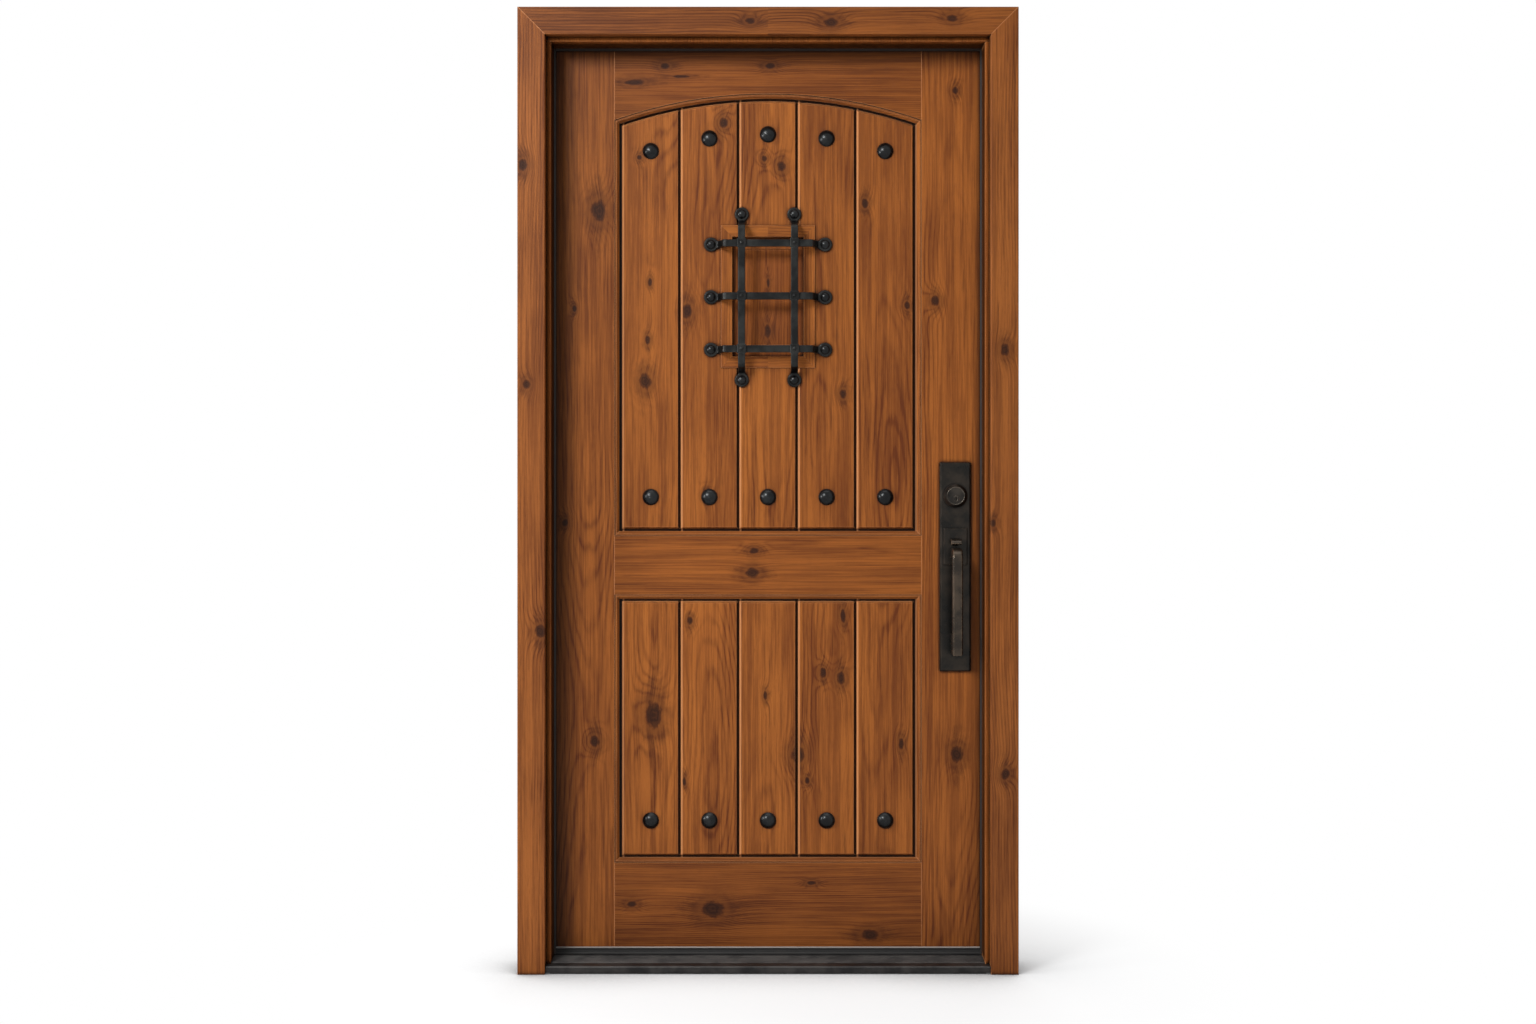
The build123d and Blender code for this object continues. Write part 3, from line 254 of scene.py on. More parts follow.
def new_group(name: str, inputs: dict[str, float],
              outputs: Sequence[str]) -> tuple[Wiring, dict[str, Socket], bpy.types.Node]:
    """Starts a shader node group of plain values.

    Args:
        name: the group's name.
        inputs: each input's name and its starting value.
        outputs: the names of the outputs.

    Returns:
        The wiring of its tree, its input sockets by name, and its output node.
    """
    tree = bpy.data.node_groups.new(name, "ShaderNodeTree")
    for label, start in inputs.items():
        tree.interface.new_socket(label, in_out="INPUT", socket_type="NodeSocketFloat").default_value = start
    for label in outputs:
        tree.interface.new_socket(label, in_out="OUTPUT", socket_type="NodeSocketFloat")
    entry, leave = tree.nodes.new("NodeGroupInput"), tree.nodes.new("NodeGroupOutput")
    return Wiring(tree), {label: entry.outputs[label] for label in inputs}, leave


@dataclass(frozen=True)
class Band:
    """Noise drawn out along a board: its scales across and along, in 1/m, its detail and its roughness."""

    across: float
    along: float
    detail: float
    roughness: float


class Effects:
    """Shader node groups that several finishes share, each built once.

    The ranges of knot marks are in knot radii, and the rest is in metres.
    """

    seed_step: float = 7.31
    pith_depth: Band = Band(3.0, 0.9, 2.0, 0.5)
    pith_depth_swing: float = 0.16
    pith_side: Band = Band(0.0, 0.8, 1.0, 0.5)
    pith_side_swing: float = 0.12
    ripple: Band = Band(30.0, 5.0, 4.0, 0.6)
    ripple_swing: float = 0.011
    rings_per_metre: float = 150.0
    ring_sharpness: float = 3.0
    ring_fade: Band = Band(8.0, 2.0, 2.0, 0.5)
    ring_fade_span: Span = (0.38, 0.62)
    faded_ring: float = 0.15
    broad_fibre: Band = Band(58.0, 1.6, 3.0, 0.5)
    middle_fibre: Band = Band(170.0, 3.5, 3.0, 0.6)
    fine_fibre: Band = Band(430.0, 9.0, 3.0, 0.65)
    fibre_weights: tuple[float, float, float] = (0.30, 0.36, 0.34)
    blotches: Band = Band(9.0, 4.0, 4.0, 0.55)
    streaks: Band = Band(120.0, 4.5, 4.0, 0.62)
    pores: Band = Band(1300.0, 60.0, 1.0, 0.5)
    rare_peaks: Span = (0.60, 0.74)
    fibre_bend: float = 0.012
    ring_bend: float = 0.026

    core_edge: Span = (1.30, 0.60)
    core_rings: float = 15.0
    core_ring_depth: float = 0.16
    rim_inside: Span = (0.95, 1.30)
    rim_outside: Span = (2.0, 1.35)
    halo_fade: Span = (3.6, 0.5)
    flame_fade: Span = (2.0, 0.2)
    flame_slimness: float = 0.34
    core_tear: float = 1.1
    halo_tear: float = 2.4
    flame_tear: float = 2.6
    warp_fall: float = 0.14

    arris_lean: Span = (0.995, 0.80)
    shut_air: Span = (0.90, 0.50)
    # Direction that slopes face to get the painted highlight: up and to the hinge side, towards the key lamp.
    lit_flank_way: tuple[float, float, float] = (-0.7, 0.0, 0.8)
    lit_flank_lean: Span = (0.25, 0.45)
    grit_share: float = 0.25

    def __init__(self) -> None:
        """Builds every group."""
        self.grain = self._grain()
        self.knot = self._knot()
        self.edges = self._edges()
        self.crevice = self._crevice()
        self.hammer = self._hammer()
        self.flank = self._flank()

    def _grain(self) -> bpy.types.NodeTree:
        """Figure of a flat-sawn board.

        The rings are the distance from a pith that wanders behind the face, so they run as long arches. The
        warp that knots add pushes them aside. Fibre is noise of three widths drawn out along the board, and
        the streaks and pores are the rare peaks of two more.

        Returns:
            The group, with outputs Figure, Fibre, Blotch, Streaks and Pores.
        """
        sheet, given, leave = new_group(
            "board_grain", {"Across": 0, "Through": 0, "Along": 0, "Seed": 0, "Warp": 0},
            ("Figure", "Fibre", "Blotch", "Streaks", "Pores"))
        seed = sheet.times(given["Seed"], self.seed_step)
        bend = sheet.times_plus(given["Warp"], self.fibre_bend, given["Across"])

        def drawn(band: Band) -> Socket:
            """Noise drawn out along the board.

            Args:
                band: its scales.

            Returns:
                Its value.
            """
            spot = sheet.vector(sheet.times_plus(bend, band.across, seed),
                                sheet.times(given["Through"], band.across),
                                sheet.times_plus(given["Along"], band.along, seed))
            return sheet.noise(spot, 1.0, band.detail, band.roughness)

        swing = sheet.times(sheet.minus(drawn(self.pith_depth), 0.5), self.pith_depth_swing)
        side = sheet.times(sheet.minus(drawn(self.pith_side), 0.5), self.pith_side_swing)
        ring = sheet.far(sheet.plus(given["Across"], side), sheet.plus(swing, given["Through"]))
        ring = sheet.plus(ring, sheet.times(given["Warp"], self.ring_bend))
        ring = sheet.times_plus(drawn(self.ripple), self.ripple_swing, ring)
        wave = sheet.math("SINE", sheet.times(ring, 2 * math.pi * self.rings_per_metre))
        late = sheet.math("POWER", sheet.remap(wave, -1.0, 1.0, smooth=False), self.ring_sharpness)
        fade = sheet.remap(drawn(self.ring_fade), *self.ring_fade_span, self.faded_ring, 1.0)
        late = sheet.times(late, fade)
        broad, middle, fine = self.fibre_weights
        fibre = sheet.times_plus(drawn(self.fine_fibre), fine, sheet.times(drawn(self.broad_fibre), broad))
        fibre = sheet.times_plus(drawn(self.middle_fibre), middle, fibre)
        sheet.feed(leave.inputs["Figure"], late)
        sheet.feed(leave.inputs["Fibre"], fibre)
        sheet.feed(leave.inputs["Blotch"], drawn(self.blotches))
        sheet.feed(leave.inputs["Streaks"], sheet.remap(drawn(self.streaks), *self.rare_peaks))
        sheet.feed(leave.inputs["Pores"], sheet.remap(drawn(self.pores), *self.rare_peaks))
        return sheet.tree

    def _knot(self) -> bpy.types.NodeTree:
        """One knot: the distance from its heart in radii, longer along the grain, roughened by a given noise.

        Returns:
            The group, with outputs Core, Rim, Halo, Flame and Warp.
        """
        sheet, given, leave = new_group(
            "board_knot", {"Across": 0, "Along": 0, "Heart Across": 0, "Heart Along": 0, "Radius": 0.01,
                           "Stretch": 1.3, "Rough": 0.5}, ("Core", "Rim", "Halo", "Flame", "Warp"))
        side = sheet.math("DIVIDE", sheet.minus(given["Across"], given["Heart Across"]), given["Radius"])
        run = sheet.math("DIVIDE", sheet.minus(given["Along"], given["Heart Along"]),
                         sheet.times(given["Radius"], given["Stretch"]))
        slim = sheet.times(run, self.flame_slimness)
        reach = sheet.far(run, side)
        rough = sheet.minus(given["Rough"], 0.5)
        even = sheet.times_plus(rough, self.core_tear, reach)
        torn = sheet.times_plus(rough, self.halo_tear, reach)
        flame = sheet.times_plus(rough, self.flame_tear, sheet.far(slim, side))
        rings = sheet.math("SINE", sheet.times(even, self.core_rings))
        rings = sheet.times_plus(rings, self.core_ring_depth, 1.0 - self.core_ring_depth)
        rim = sheet.times(sheet.remap(even, *self.rim_inside), sheet.remap(even, *self.rim_outside))
        warp = sheet.math("EXPONENT", sheet.times(sheet.times(reach, reach), -self.warp_fall))
        sheet.feed(leave.inputs["Core"], sheet.times(sheet.remap(even, *self.core_edge), rings))
        sheet.feed(leave.inputs["Rim"], rim)
        sheet.feed(leave.inputs["Halo"], sheet.remap(torn, *self.halo_fade))
        sheet.feed(leave.inputs["Flame"], sheet.remap(flame, *self.flame_fade))
        sheet.feed(leave.inputs["Warp"], warp)
        return sheet.tree

    def _edges(self) -> bpy.types.NodeTree:
        """Mask of the arrises: how far the rounded normal leans from the true one.

        Returns:
            The group, with output Mask.
        """
        sheet, given, leave = new_group("arris_edges", {"Spread": 0.002}, ("Mask",))
        rounded = sheet.node("Bevel", samples=4)
        sheet.feed(rounded.inputs["Radius"], given["Spread"])
        lean = sheet.node("VectorMath", operation="DOT_PRODUCT")
        sheet.feed(lean.inputs[0], rounded.outputs[0])
        sheet.feed(lean.inputs[1], sheet.node("NewGeometry").outputs["Normal"])
        sheet.feed(leave.inputs["Mask"], sheet.remap(lean.outputs["Value"], *self.arris_lean))
        return sheet.tree

    def _crevice(self) -> bpy.types.NodeTree:
        """Mask of the grooves and inner corners, from how little of the air around a point is open.

        Returns:
            The group, with output Mask.
        """
        sheet, given, leave = new_group("dark_crevices", {"Reach": 0.012}, ("Mask",))
        open_air = sheet.node("AmbientOcclusion", samples=6)
        sheet.feed(open_air.inputs["Distance"], given["Reach"])
        sheet.feed(leave.inputs["Mask"], sheet.remap(open_air.outputs["AO"], *self.shut_air, smooth=False))
        return sheet.tree

    def _flank(self) -> bpy.types.NodeTree:
        """Mask of slopes that face up and to the hinge side, towards the key lamp, which get a painted
        highlight.

        It is a smooth step of the dot product of the normal with that slanted direction.

        Returns:
            The group, with output Mask.
        """
        sheet, _, leave = new_group("lit_flank", {}, ("Mask",))
        lean = sheet.node("VectorMath", operation="DOT_PRODUCT")
        sheet.feed(lean.inputs[0], sheet.node("NewGeometry").outputs["Normal"])
        sheet.feed(lean.inputs[1], self.lit_flank_way)
        sheet.feed(leave.inputs["Mask"], sheet.remap(lean.outputs["Value"], *self.lit_flank_lean))
        return sheet.tree

    def _hammer(self) -> bpy.types.NodeTree:
        """Height of hammered or cast metal: soft dents from cell distances, with fine grit over them.

        Returns:
            The group, with output Height.
        """
        sheet, given, leave = new_group("hammered_metal", {"Dents": 90, "Grit": 700}, ("Height",))
        spot = sheet.spot()
        dents = sheet.node("TexVoronoi", feature="SMOOTH_F1")
        sheet.feed(dents.inputs["Scale"], given["Dents"])
        sheet.feed(dents.inputs["Vector"], spot)
        grit = sheet.node("TexNoise")
        sheet.feed(grit.inputs["Scale"], given["Grit"])
        sheet.feed(grit.inputs["Vector"], spot)
        height = sheet.times_plus(grit.outputs["Fac"], self.grit_share, dents.outputs["Distance"])
        sheet.feed(leave.inputs["Height"], height)
        return sheet.tree


class Run(Enum):
    """Way that the grain of a board runs."""

    UPRIGHT = "upright"
    LEVEL = "level"
    MITRED = "mitred"


class Boards(Enum):
    """How a finish tells one board from the next, so that each has its own figure."""

    SIDES = "sides"
    RAILS = "rails"
    PLANKS = "planks"


@dataclass(frozen=True)
class Knot:
    """A knot of the wood: the place of its heart, seen from outside, and its radius, in metres."""

    x: float
    z: float
    radius: float
    stretch: float = 1.3


@dataclass(frozen=True)
class WoodFinish:
    """Stained and varnished knotty wood, with painted shade and painted highlights.

    Places are in metres, and a share is how strongly one colour covers those below it. A span of a vee or a
    lip is in plank widths, and any other span without a place is the range of a noise's value that counts.
    """

    name: str
    run: Run
    boards: Boards
    light: Colour
    dark: Colour
    knots: tuple[Knot, ...] = ()
    seed: float = 0.0
    depth_shade: float = 0.0
    rim_shade: float = 0.0
    shine: float = 0.12

    heart: Colour = tint(36, 18, 10)
    stain: Colour = tint(66, 32, 14)
    # Dark colour of the painted shade: in deep places, along the leaf's rim, in hollows and in the vees.
    shade_tone: Colour = tint(18, 7, 3)
    # Pale colour of the painted highlights on lit slopes and on the vees' lips, and of the arrises, which are
    # partly worn and partly painted highlight.
    highlight_and_wear: Colour = tint(205, 140, 92)
    figure_share: float = 0.36
    fibre_span: Span = (0.42, 0.58)
    fibre_share: float = 0.50
    blotch_span: Span = (0.30, 0.72)
    blotch_share: float = 0.32
    board_scale: float = 2.7
    board_slice: float = 0.3
    board_span: Span = (0.3, 0.7)
    board_share: float = 0.22
    streak_share: float = 0.55
    pore_share: float = 0.30
    halo_share: float = 0.62
    flame_span: Span = (0.36, 0.60)
    flame_share: Span = (0.20, 0.75)
    knot_rim_share: float = 0.18
    core_share: float = 0.88
    knot_tear: Band = Band(95.0, 48.0, 4.0, 0.62)

    plank_pitch: float = 0.1316
    plank_side: float = 0.329
    row_height: float = 0.9
    row_step: float = 6.0
    rails_per_metre: float = 1.6
    side_middle: float = 0.42
    view_centre: float = 1.4976
    view_excess: float = 0.054

    deep: Span = (0.003, 0.030)
    left_rim: Span = (-0.405, -0.492)
    right_rim: Span = (0.448, 0.492)
    right_rim_share: float = 0.8
    top_rim: Span = (1.985, 2.064)
    shade_reach: float = 0.010
    flank_unshaded: float = 0.75
    flank_highlight_share: float = 0.6
    vee_left: Span = (0.958, 0.968)
    vee_right: Span = (0.014, 0.006)
    vee_share: float = 0.92
    lip_inside: Span = (0.012, 0.020)
    lip_outside: Span = (0.050, 0.038)
    lip_share: float = 0.55
    edge_spread: float = 0.0022
    edge_light_share: float = 0.75
    roughness: float = 0.46
    rough_swing: float = 0.14
    figure_sink: float = 0.3
    pore_sink: float = 0.5
    core_sink: float = 0.8
    relief: float = 0.0004
    relief_strength: float = 0.45

    def build(self, effects: Effects) -> bpy.types.Material:
        """Makes the material.

        Args:
            effects: the shared node groups.

        Returns:
            The finished material.
        """
        material, sheet, shader = new_material(self.name)
        x, y, z = sheet.place()
        marks, warp = self._knotted(effects, sheet, x, z)
        across, along = self._directions(sheet, x, z)
        grain = sheet.group(effects.grain, Across=self._centred(sheet, across), Through=y, Along=along,
                            Seed=self._number(sheet, x, z), Warp=warp)
        colour = self._stained(sheet, grain, marks, self._number(sheet, x, z))
        colour = self._shaded(sheet, colour, x, y, z)
        sheet.feed(shader.inputs["Base Color"], self._polished(effects, sheet, colour, x))
        smoothest = self.roughness - self.rough_swing / 2
        rough = sheet.times_plus(grain.outputs["Fibre"], self.rough_swing, smoothest)
        sheet.feed(shader.inputs["Roughness"], rough)
        shader.inputs["Specular IOR Level"].default_value = self.shine
        height = sheet.times_plus(grain.outputs["Figure"], -self.figure_sink, grain.outputs["Fibre"])
        height = sheet.times_plus(grain.outputs["Pores"], -self.pore_sink, height)
        height = sheet.times_plus(marks["Core"], -self.core_sink, height)
        raise_surface(sheet, shader, height, self.relief, self.relief_strength)
        return material

    def _knotted(self, effects: Effects, sheet: Wiring, x: Socket,
                 z: Socket) -> tuple[dict[str, Value], Value]:
        """Marks of every knot, of which the strongest shows.

        Args:
            effects: the shared node groups.
            sheet: the wiring of the material.
            x: the point's X.
            z: the point's Z.

        Returns:
            The masks Core, Rim, Halo and Flame by name, and how far the grain is pushed aside.
        """
        upright = self.run is Run.UPRIGHT
        flat, length = (x, z) if upright else (z, x)
        tear = self.knot_tear
        spot = sheet.vector(sheet.times(flat, tear.across), sheet.times(length, tear.along), self.seed)
        rough = sheet.noise(spot, 1.0, tear.detail, tear.roughness)
        marks: dict[str, Value] = dict.fromkeys(("Core", "Rim", "Halo", "Flame"), 0.0)
        warp: Value = 0.0
        for knot in self.knots:
            heart_across, heart_along = (knot.x, knot.z) if upright else (knot.z, knot.x)
            mark = sheet.group(effects.knot, Across=flat, Along=length, Heart_Across=heart_across,
                               Heart_Along=heart_along, Radius=knot.radius, Stretch=knot.stretch, Rough=rough)
            warp = sheet.plus(warp, mark.outputs["Warp"])
            for part, strongest in marks.items():
                marks[part] = sheet.most(strongest, mark.outputs[part])
        return marks, warp

    def _stained(self, sheet: Wiring, grain: bpy.types.Node, marks: dict[str, Value],
                 number: Socket) -> Socket:
        """Colour of the stained wood before any shade or wear.

        Args:
            sheet: the wiring of the material.
            grain: the grain group's node.
            marks: the knots' masks.
            number: the number of the board.

        Returns:
            The colour.
        """
        fibre = grain.outputs["Fibre"]
        tone = sheet.times(grain.outputs["Figure"], self.figure_share)
        tone = sheet.times_plus(sheet.remap(fibre, *self.fibre_span), self.fibre_share, tone)
        blotch = sheet.remap(grain.outputs["Blotch"], *self.blotch_span)
        tone = sheet.math("MULTIPLY_ADD", blotch, self.blotch_share, tone, clamp=True)
        colour = sheet.mix(tone, self.light, self.dark)
        board = sheet.noise(sheet.vector(number, self.seed, self.board_slice), self.board_scale, detail=0.0)
        darker = sheet.remap(board, *self.board_span, 0.0, self.board_share)
        colour = sheet.mix(darker, colour, self.dark)
        colour = sheet.layer(colour, grain.outputs["Streaks"], self.streak_share, self.stain)
        colour = sheet.layer(colour, grain.outputs["Pores"], self.pore_share, self.stain)
        colour = sheet.layer(colour, marks["Halo"], self.halo_share, self.stain)
        flame = sheet.times(marks["Flame"], sheet.remap(fibre, *self.flame_span, *self.flame_share))
        colour = sheet.mix(flame, colour, self.stain)
        colour = sheet.layer(colour, marks["Rim"], self.knot_rim_share, self.light)
        return sheet.layer(colour, marks["Core"], self.core_share, self.heart)

    def _shaded(self, sheet: Wiring, colour: Socket, x: Socket, y: Socket, z: Socket) -> Socket:
        """Colour with painted shade in deep places and a painted shadow along the leaf's rim.

        Args:
            sheet: the wiring of the material.
            colour: the stained wood's colour.
            x: the point's X.
            y: the point's Y.
            z: the point's Z.

        Returns:
            The toned colour.
        """
        # Painted shade: the stop's faces darken with depth behind the casing.
        if self.depth_shade:
            colour = sheet.mix(sheet.remap(y, *self.deep, 0.0, self.depth_shade), colour, self.shade_tone)
        # Painted shadow of the jambs and head along the leaf's hinge, lock and top edges.
        if self.rim_shade:
            right = sheet.remap(x, *self.right_rim, 0.0, self.right_rim_share)
            rim = sheet.most(sheet.remap(x, *self.left_rim), right)
            rim = sheet.most(rim, sheet.remap(z, *self.top_rim))
            colour = sheet.layer(colour, rim, self.rim_shade, self.shade_tone)
        return colour

    def _polished(self, effects: Effects, sheet: Wiring, colour: Socket, x: Socket) -> Socket:
        """Colour with painted shade in hollows and vees, and painted highlights on lit slopes, lips and worn
        arrises.

        Args:
            effects: the shared node groups.
            sheet: the wiring of the material.
            colour: the toned colour.
            x: the point's X.

        Returns:
            The finished colour.
        """
        # Painted shade in grooves and hollows, lifted on slopes that face up and to the hinge side, which get
        # a painted highlight.
        shut = sheet.group(effects.crevice, Reach=self.shade_reach).outputs["Mask"]
        flank = sheet.group(effects.flank).outputs["Mask"]
        painted_shade = sheet.times(shut, sheet.times_plus(flank, -self.flank_unshaded, 1.0))
        colour = sheet.mix(painted_shade, colour, self.shade_tone)
        colour = sheet.layer(colour, sheet.times(shut, flank), self.flank_highlight_share, self.highlight_and_wear)
        # Painted shade down each plank joint's vee, and a painted highlight on the lip of the plank to its
        # right.
        if self.boards is Boards.PLANKS:
            part = sheet.math("FRACT", self._planks(sheet, x))
            vee_shade = sheet.most(sheet.remap(part, *self.vee_left), sheet.remap(part, *self.vee_right))
            lip_highlight = sheet.times(sheet.remap(part, *self.lip_inside), sheet.remap(part, *self.lip_outside))
            colour = sheet.layer(colour, vee_shade, self.vee_share, self.shade_tone)
            colour = sheet.layer(colour, lip_highlight, self.lip_share, self.highlight_and_wear)
        # Lighter arrises, partly worn and partly painted highlight.
        wear_and_highlight = sheet.group(effects.edges, Spread=self.edge_spread).outputs["Mask"]
        wear_and_highlight = sheet.times(wear_and_highlight, sheet.minus(1.0, shut))
        return sheet.layer(colour, wear_and_highlight, self.edge_light_share, self.highlight_and_wear)

    def _directions(self, sheet: Wiring, x: Socket, z: Socket) -> tuple[Socket, Socket]:
        """Directions of the board's grain.

        On a mitred border, a point belongs to a level piece where it is further above or below the centre than
        beside it, once the border's extra height is taken off.

        Args:
            sheet: the wiring of the material.
            x: the point's X.
            z: the point's Z.

        Returns:
            The coordinates across and along the board.
        """
        if self.run is Run.UPRIGHT:
            return x, z
        if self.run is Run.LEVEL:
            return z, x
        rise = sheet.math("ABSOLUTE", sheet.minus(z, self.view_centre))
        level = sheet.math("GREATER_THAN", sheet.minus(rise, self.view_excess), sheet.math("ABSOLUTE", x))
        keep = sheet.minus(1.0, level)
        across = sheet.times_plus(z, level, sheet.times(x, keep))
        along = sheet.times_plus(x, level, sheet.times(z, keep))
        return across, along

    def _planks(self, sheet: Wiring, x: Socket) -> Socket:
        """Planks counted from the hinge side of the field, with their parts."""
        return sheet.math("DIVIDE", sheet.plus(x, self.plank_side), self.plank_pitch)

    def _number(self, sheet: Wiring, x: Socket, z: Socket) -> Socket:
        """Number of the board that a point lies on.

        Args:
            sheet: the wiring of the material.
            x: the point's X.
            z: the point's Z.

        Returns:
            The number, with the finish's own seed added.
        """
        if self.boards is Boards.PLANKS:
            upper = sheet.math("GREATER_THAN", z, self.row_height)
            number = sheet.times_plus(upper, self.row_step, sheet.math("FLOOR", self._planks(sheet, x)))
        elif self.boards is Boards.RAILS:
            number = sheet.math("FLOOR", sheet.times(z, self.rails_per_metre))
        else:
            number = sheet.math("GREATER_THAN", x, 0.0)
        return sheet.plus(number, self.seed)

    def _centred(self, sheet: Wiring, across: Socket) -> Socket:
        """Across coordinate measured from the middle of its own board.

        Args:
            sheet: the wiring of the material.
            across: the coordinate across the grain.

        Returns:
            The centred coordinate.
        """
        if self.boards is Boards.PLANKS:
            part = sheet.math("FRACT", self._planks(sheet, across))
            return sheet.times(sheet.minus(part, 0.5), self.plank_pitch)
        if self.boards is Boards.RAILS:
            return sheet.minus(sheet.math("FRACT", sheet.times(across, self.rails_per_metre)), 0.5)
        return sheet.minus(sheet.math("ABSOLUTE", across), self.side_middle)


@dataclass(frozen=True)
class MetalFinish:
    """Dark hammered or cast metal, with painted shade in hollows and edges paled by wear and painted
    highlight.

    Lengths are in metres. Clouds are the scale, detail and roughness of the noise that makes the tone uneven,
    and a span is the range of its value that counts.
    """

    name: str
    base: Colour
    wear_and_highlight: Colour
    metallic: float = 0.8
    roughness: float = 0.38
    dents: float = 90.0
    grit: float = 900.0
    height: float = 0.0003
    spread: float = 0.0010
    edge_share: float = 0.7
    rounding: float = 0.0

    # Painted shade in the hollows: its colour, reach and share.
    hollow_shade: Colour = tint(10, 10, 10)
    hollow_shade_reach: float = 0.006
    hollow_shade_share: float = 0.6
    clouds: tuple[float, float, float] = (28.0, 4.0, 0.6)
    cloud_span: Span = (0.35, 0.7)
    cloud_share: float = 0.12
    wear_span: Span = (0.3, 0.6)
    thin_wear: float = 0.35
    rough_swing: float = 0.22
    worn_gloss: float = 0.10
    relief_strength: float = 0.6

    def build(self, effects: Effects) -> bpy.types.Material:
        """Makes the material.

        Args:
            effects: the shared node groups.

        Returns:
            The finished material.
        """
        material, sheet, shader = new_material(self.name)
        surface = sheet.group(effects.hammer, Dents=self.dents, Grit=self.grit)
        cloud = sheet.noise(sheet.spot(), *self.clouds)
        # Lighter edges, partly worn and partly painted highlight.
        edge = sheet.group(effects.edges, Spread=self.spread).outputs["Mask"]
        bare_and_lit = sheet.times(edge, sheet.remap(cloud, *self.wear_span, self.thin_wear * self.edge_share, self.edge_share))
        uneven = sheet.remap(cloud, *self.cloud_span, 0.0, self.cloud_share)
        colour = sheet.mix(uneven, self.base, self.wear_and_highlight)
        colour = sheet.mix(bare_and_lit, colour, self.wear_and_highlight)
        # Painted shade in the hollows.
        shut = sheet.group(effects.crevice, Reach=self.hollow_shade_reach).outputs["Mask"]
        sheet.feed(shader.inputs["Base Color"], sheet.layer(colour, shut, self.hollow_shade_share, self.hollow_shade))
        shader.inputs["Metallic"].default_value = self.metallic
        rough = sheet.times_plus(cloud, self.rough_swing, self.roughness - self.rough_swing / 2)
        sheet.feed(shader.inputs["Roughness"], sheet.times_plus(bare_and_lit, -self.worn_gloss, rough))
        raise_surface(sheet, shader, surface.outputs["Height"], self.height, self.relief_strength,
                      self.rounding)
        return material


@dataclass(frozen=True)
class RubberFinish:
    """Dull dark rubber, foam or paint, finely pitted, with pale dust in clouds and pale edges.

    The pale edges are partly dust and partly painted highlight. Above lit_height, where it has one, a painted
    highlight in the pale colour covers it wholly. Lengths are in metres, and clouds are the scale, detail and
    roughness of the noise that spreads the dust.
    """

    name: str
    base: Colour
    dust_and_highlight: Colour
    pits: float = 900.0
    pit_detail: float = 2.0
    pit_depth: float = 0.0001
    pit_strength: float = 0.5
    spread: float = 0.001
    edge: float = 0.3
    clouds: tuple[float, float, float] = (14.0, 4.0, 0.65)
    dust_span: Span = (0.5, 0.75)
    dusting: float = 0.3
    lit_height: float = 0.0
    lit_blur: float = 0.0002
    roughness: float = 0.62
    rough_swing: float = 0.15

    def build(self, effects: Effects) -> bpy.types.Material:
        """Makes the material.

        Args:
            effects: the shared node groups.

        Returns:
            The finished material.
        """
        material, sheet, shader = new_material(self.name)
        pits = sheet.noise(sheet.spot(), self.pits, self.pit_detail)
        cloud = sheet.noise(sheet.spot(), *self.clouds)
        edge = sheet.group(effects.edges, Spread=self.spread).outputs["Mask"]
        dusty = sheet.remap(cloud, *self.dust_span, 0.0, self.dusting)
        colour = sheet.mix(dusty, self.base, self.dust_and_highlight)
        # Pale edges, partly dust and partly painted highlight.
        colour = sheet.layer(colour, edge, self.edge, self.dust_and_highlight)
        # Painted highlight: above lit_height the whole surface takes the pale colour.
        if self.lit_height:
            low, high = self.lit_height - self.lit_blur, self.lit_height + self.lit_blur
            colour = sheet.mix(sheet.remap(sheet.place()[2], low, high), colour, self.dust_and_highlight)
        sheet.feed(shader.inputs["Base Color"], colour)
        sheet.feed(shader.inputs["Roughness"], sheet.times_plus(pits, self.rough_swing, self.roughness))
        raise_surface(sheet, shader, pits, self.pit_depth, self.pit_strength)
        return material


def new_material(name: str) -> tuple[bpy.types.Material, Wiring, bpy.types.Node]:
    """Starts a material with its Principled shader.

    Args:
        name: the material's name.

    Returns:
        The material, the wiring of its tree and its shader.
    """
    material = bpy.data.materials.new(name)
    material.use_nodes = True
    shader = next(node for node in material.node_tree.nodes if node.type == "BSDF_PRINCIPLED")
    return material, Wiring(material.node_tree), shader


def raise_surface(sheet: Wiring, shader: bpy.types.Node, height: Socket, distance: float, strength: float,
                  rounding: float = 0.0) -> None:
    """Feeds a height through a Bump node to a shader's normal.

    Args:
        sheet: the wiring of the material.
        shader: the shader that is raised.
        height: the height field.
        distance: the height of its full value, in metres.
        strength: the strength of the bump.
        rounding: the radius to which sharp edges are shaded, in metres, or 0 for none.
    """
    bump = sheet.node("Bump")
    if rounding:
        bevel = sheet.node("Bevel", samples=4)
        bevel.inputs["Radius"].default_value = rounding
        sheet.feed(bump.inputs["Normal"], bevel.outputs[0])
    bump.inputs["Distance"].default_value = distance
    bump.inputs["Strength"].default_value = strength
    sheet.feed(bump.inputs["Height"], height)
    sheet.feed(shader.inputs["Normal"], bump.outputs[0])


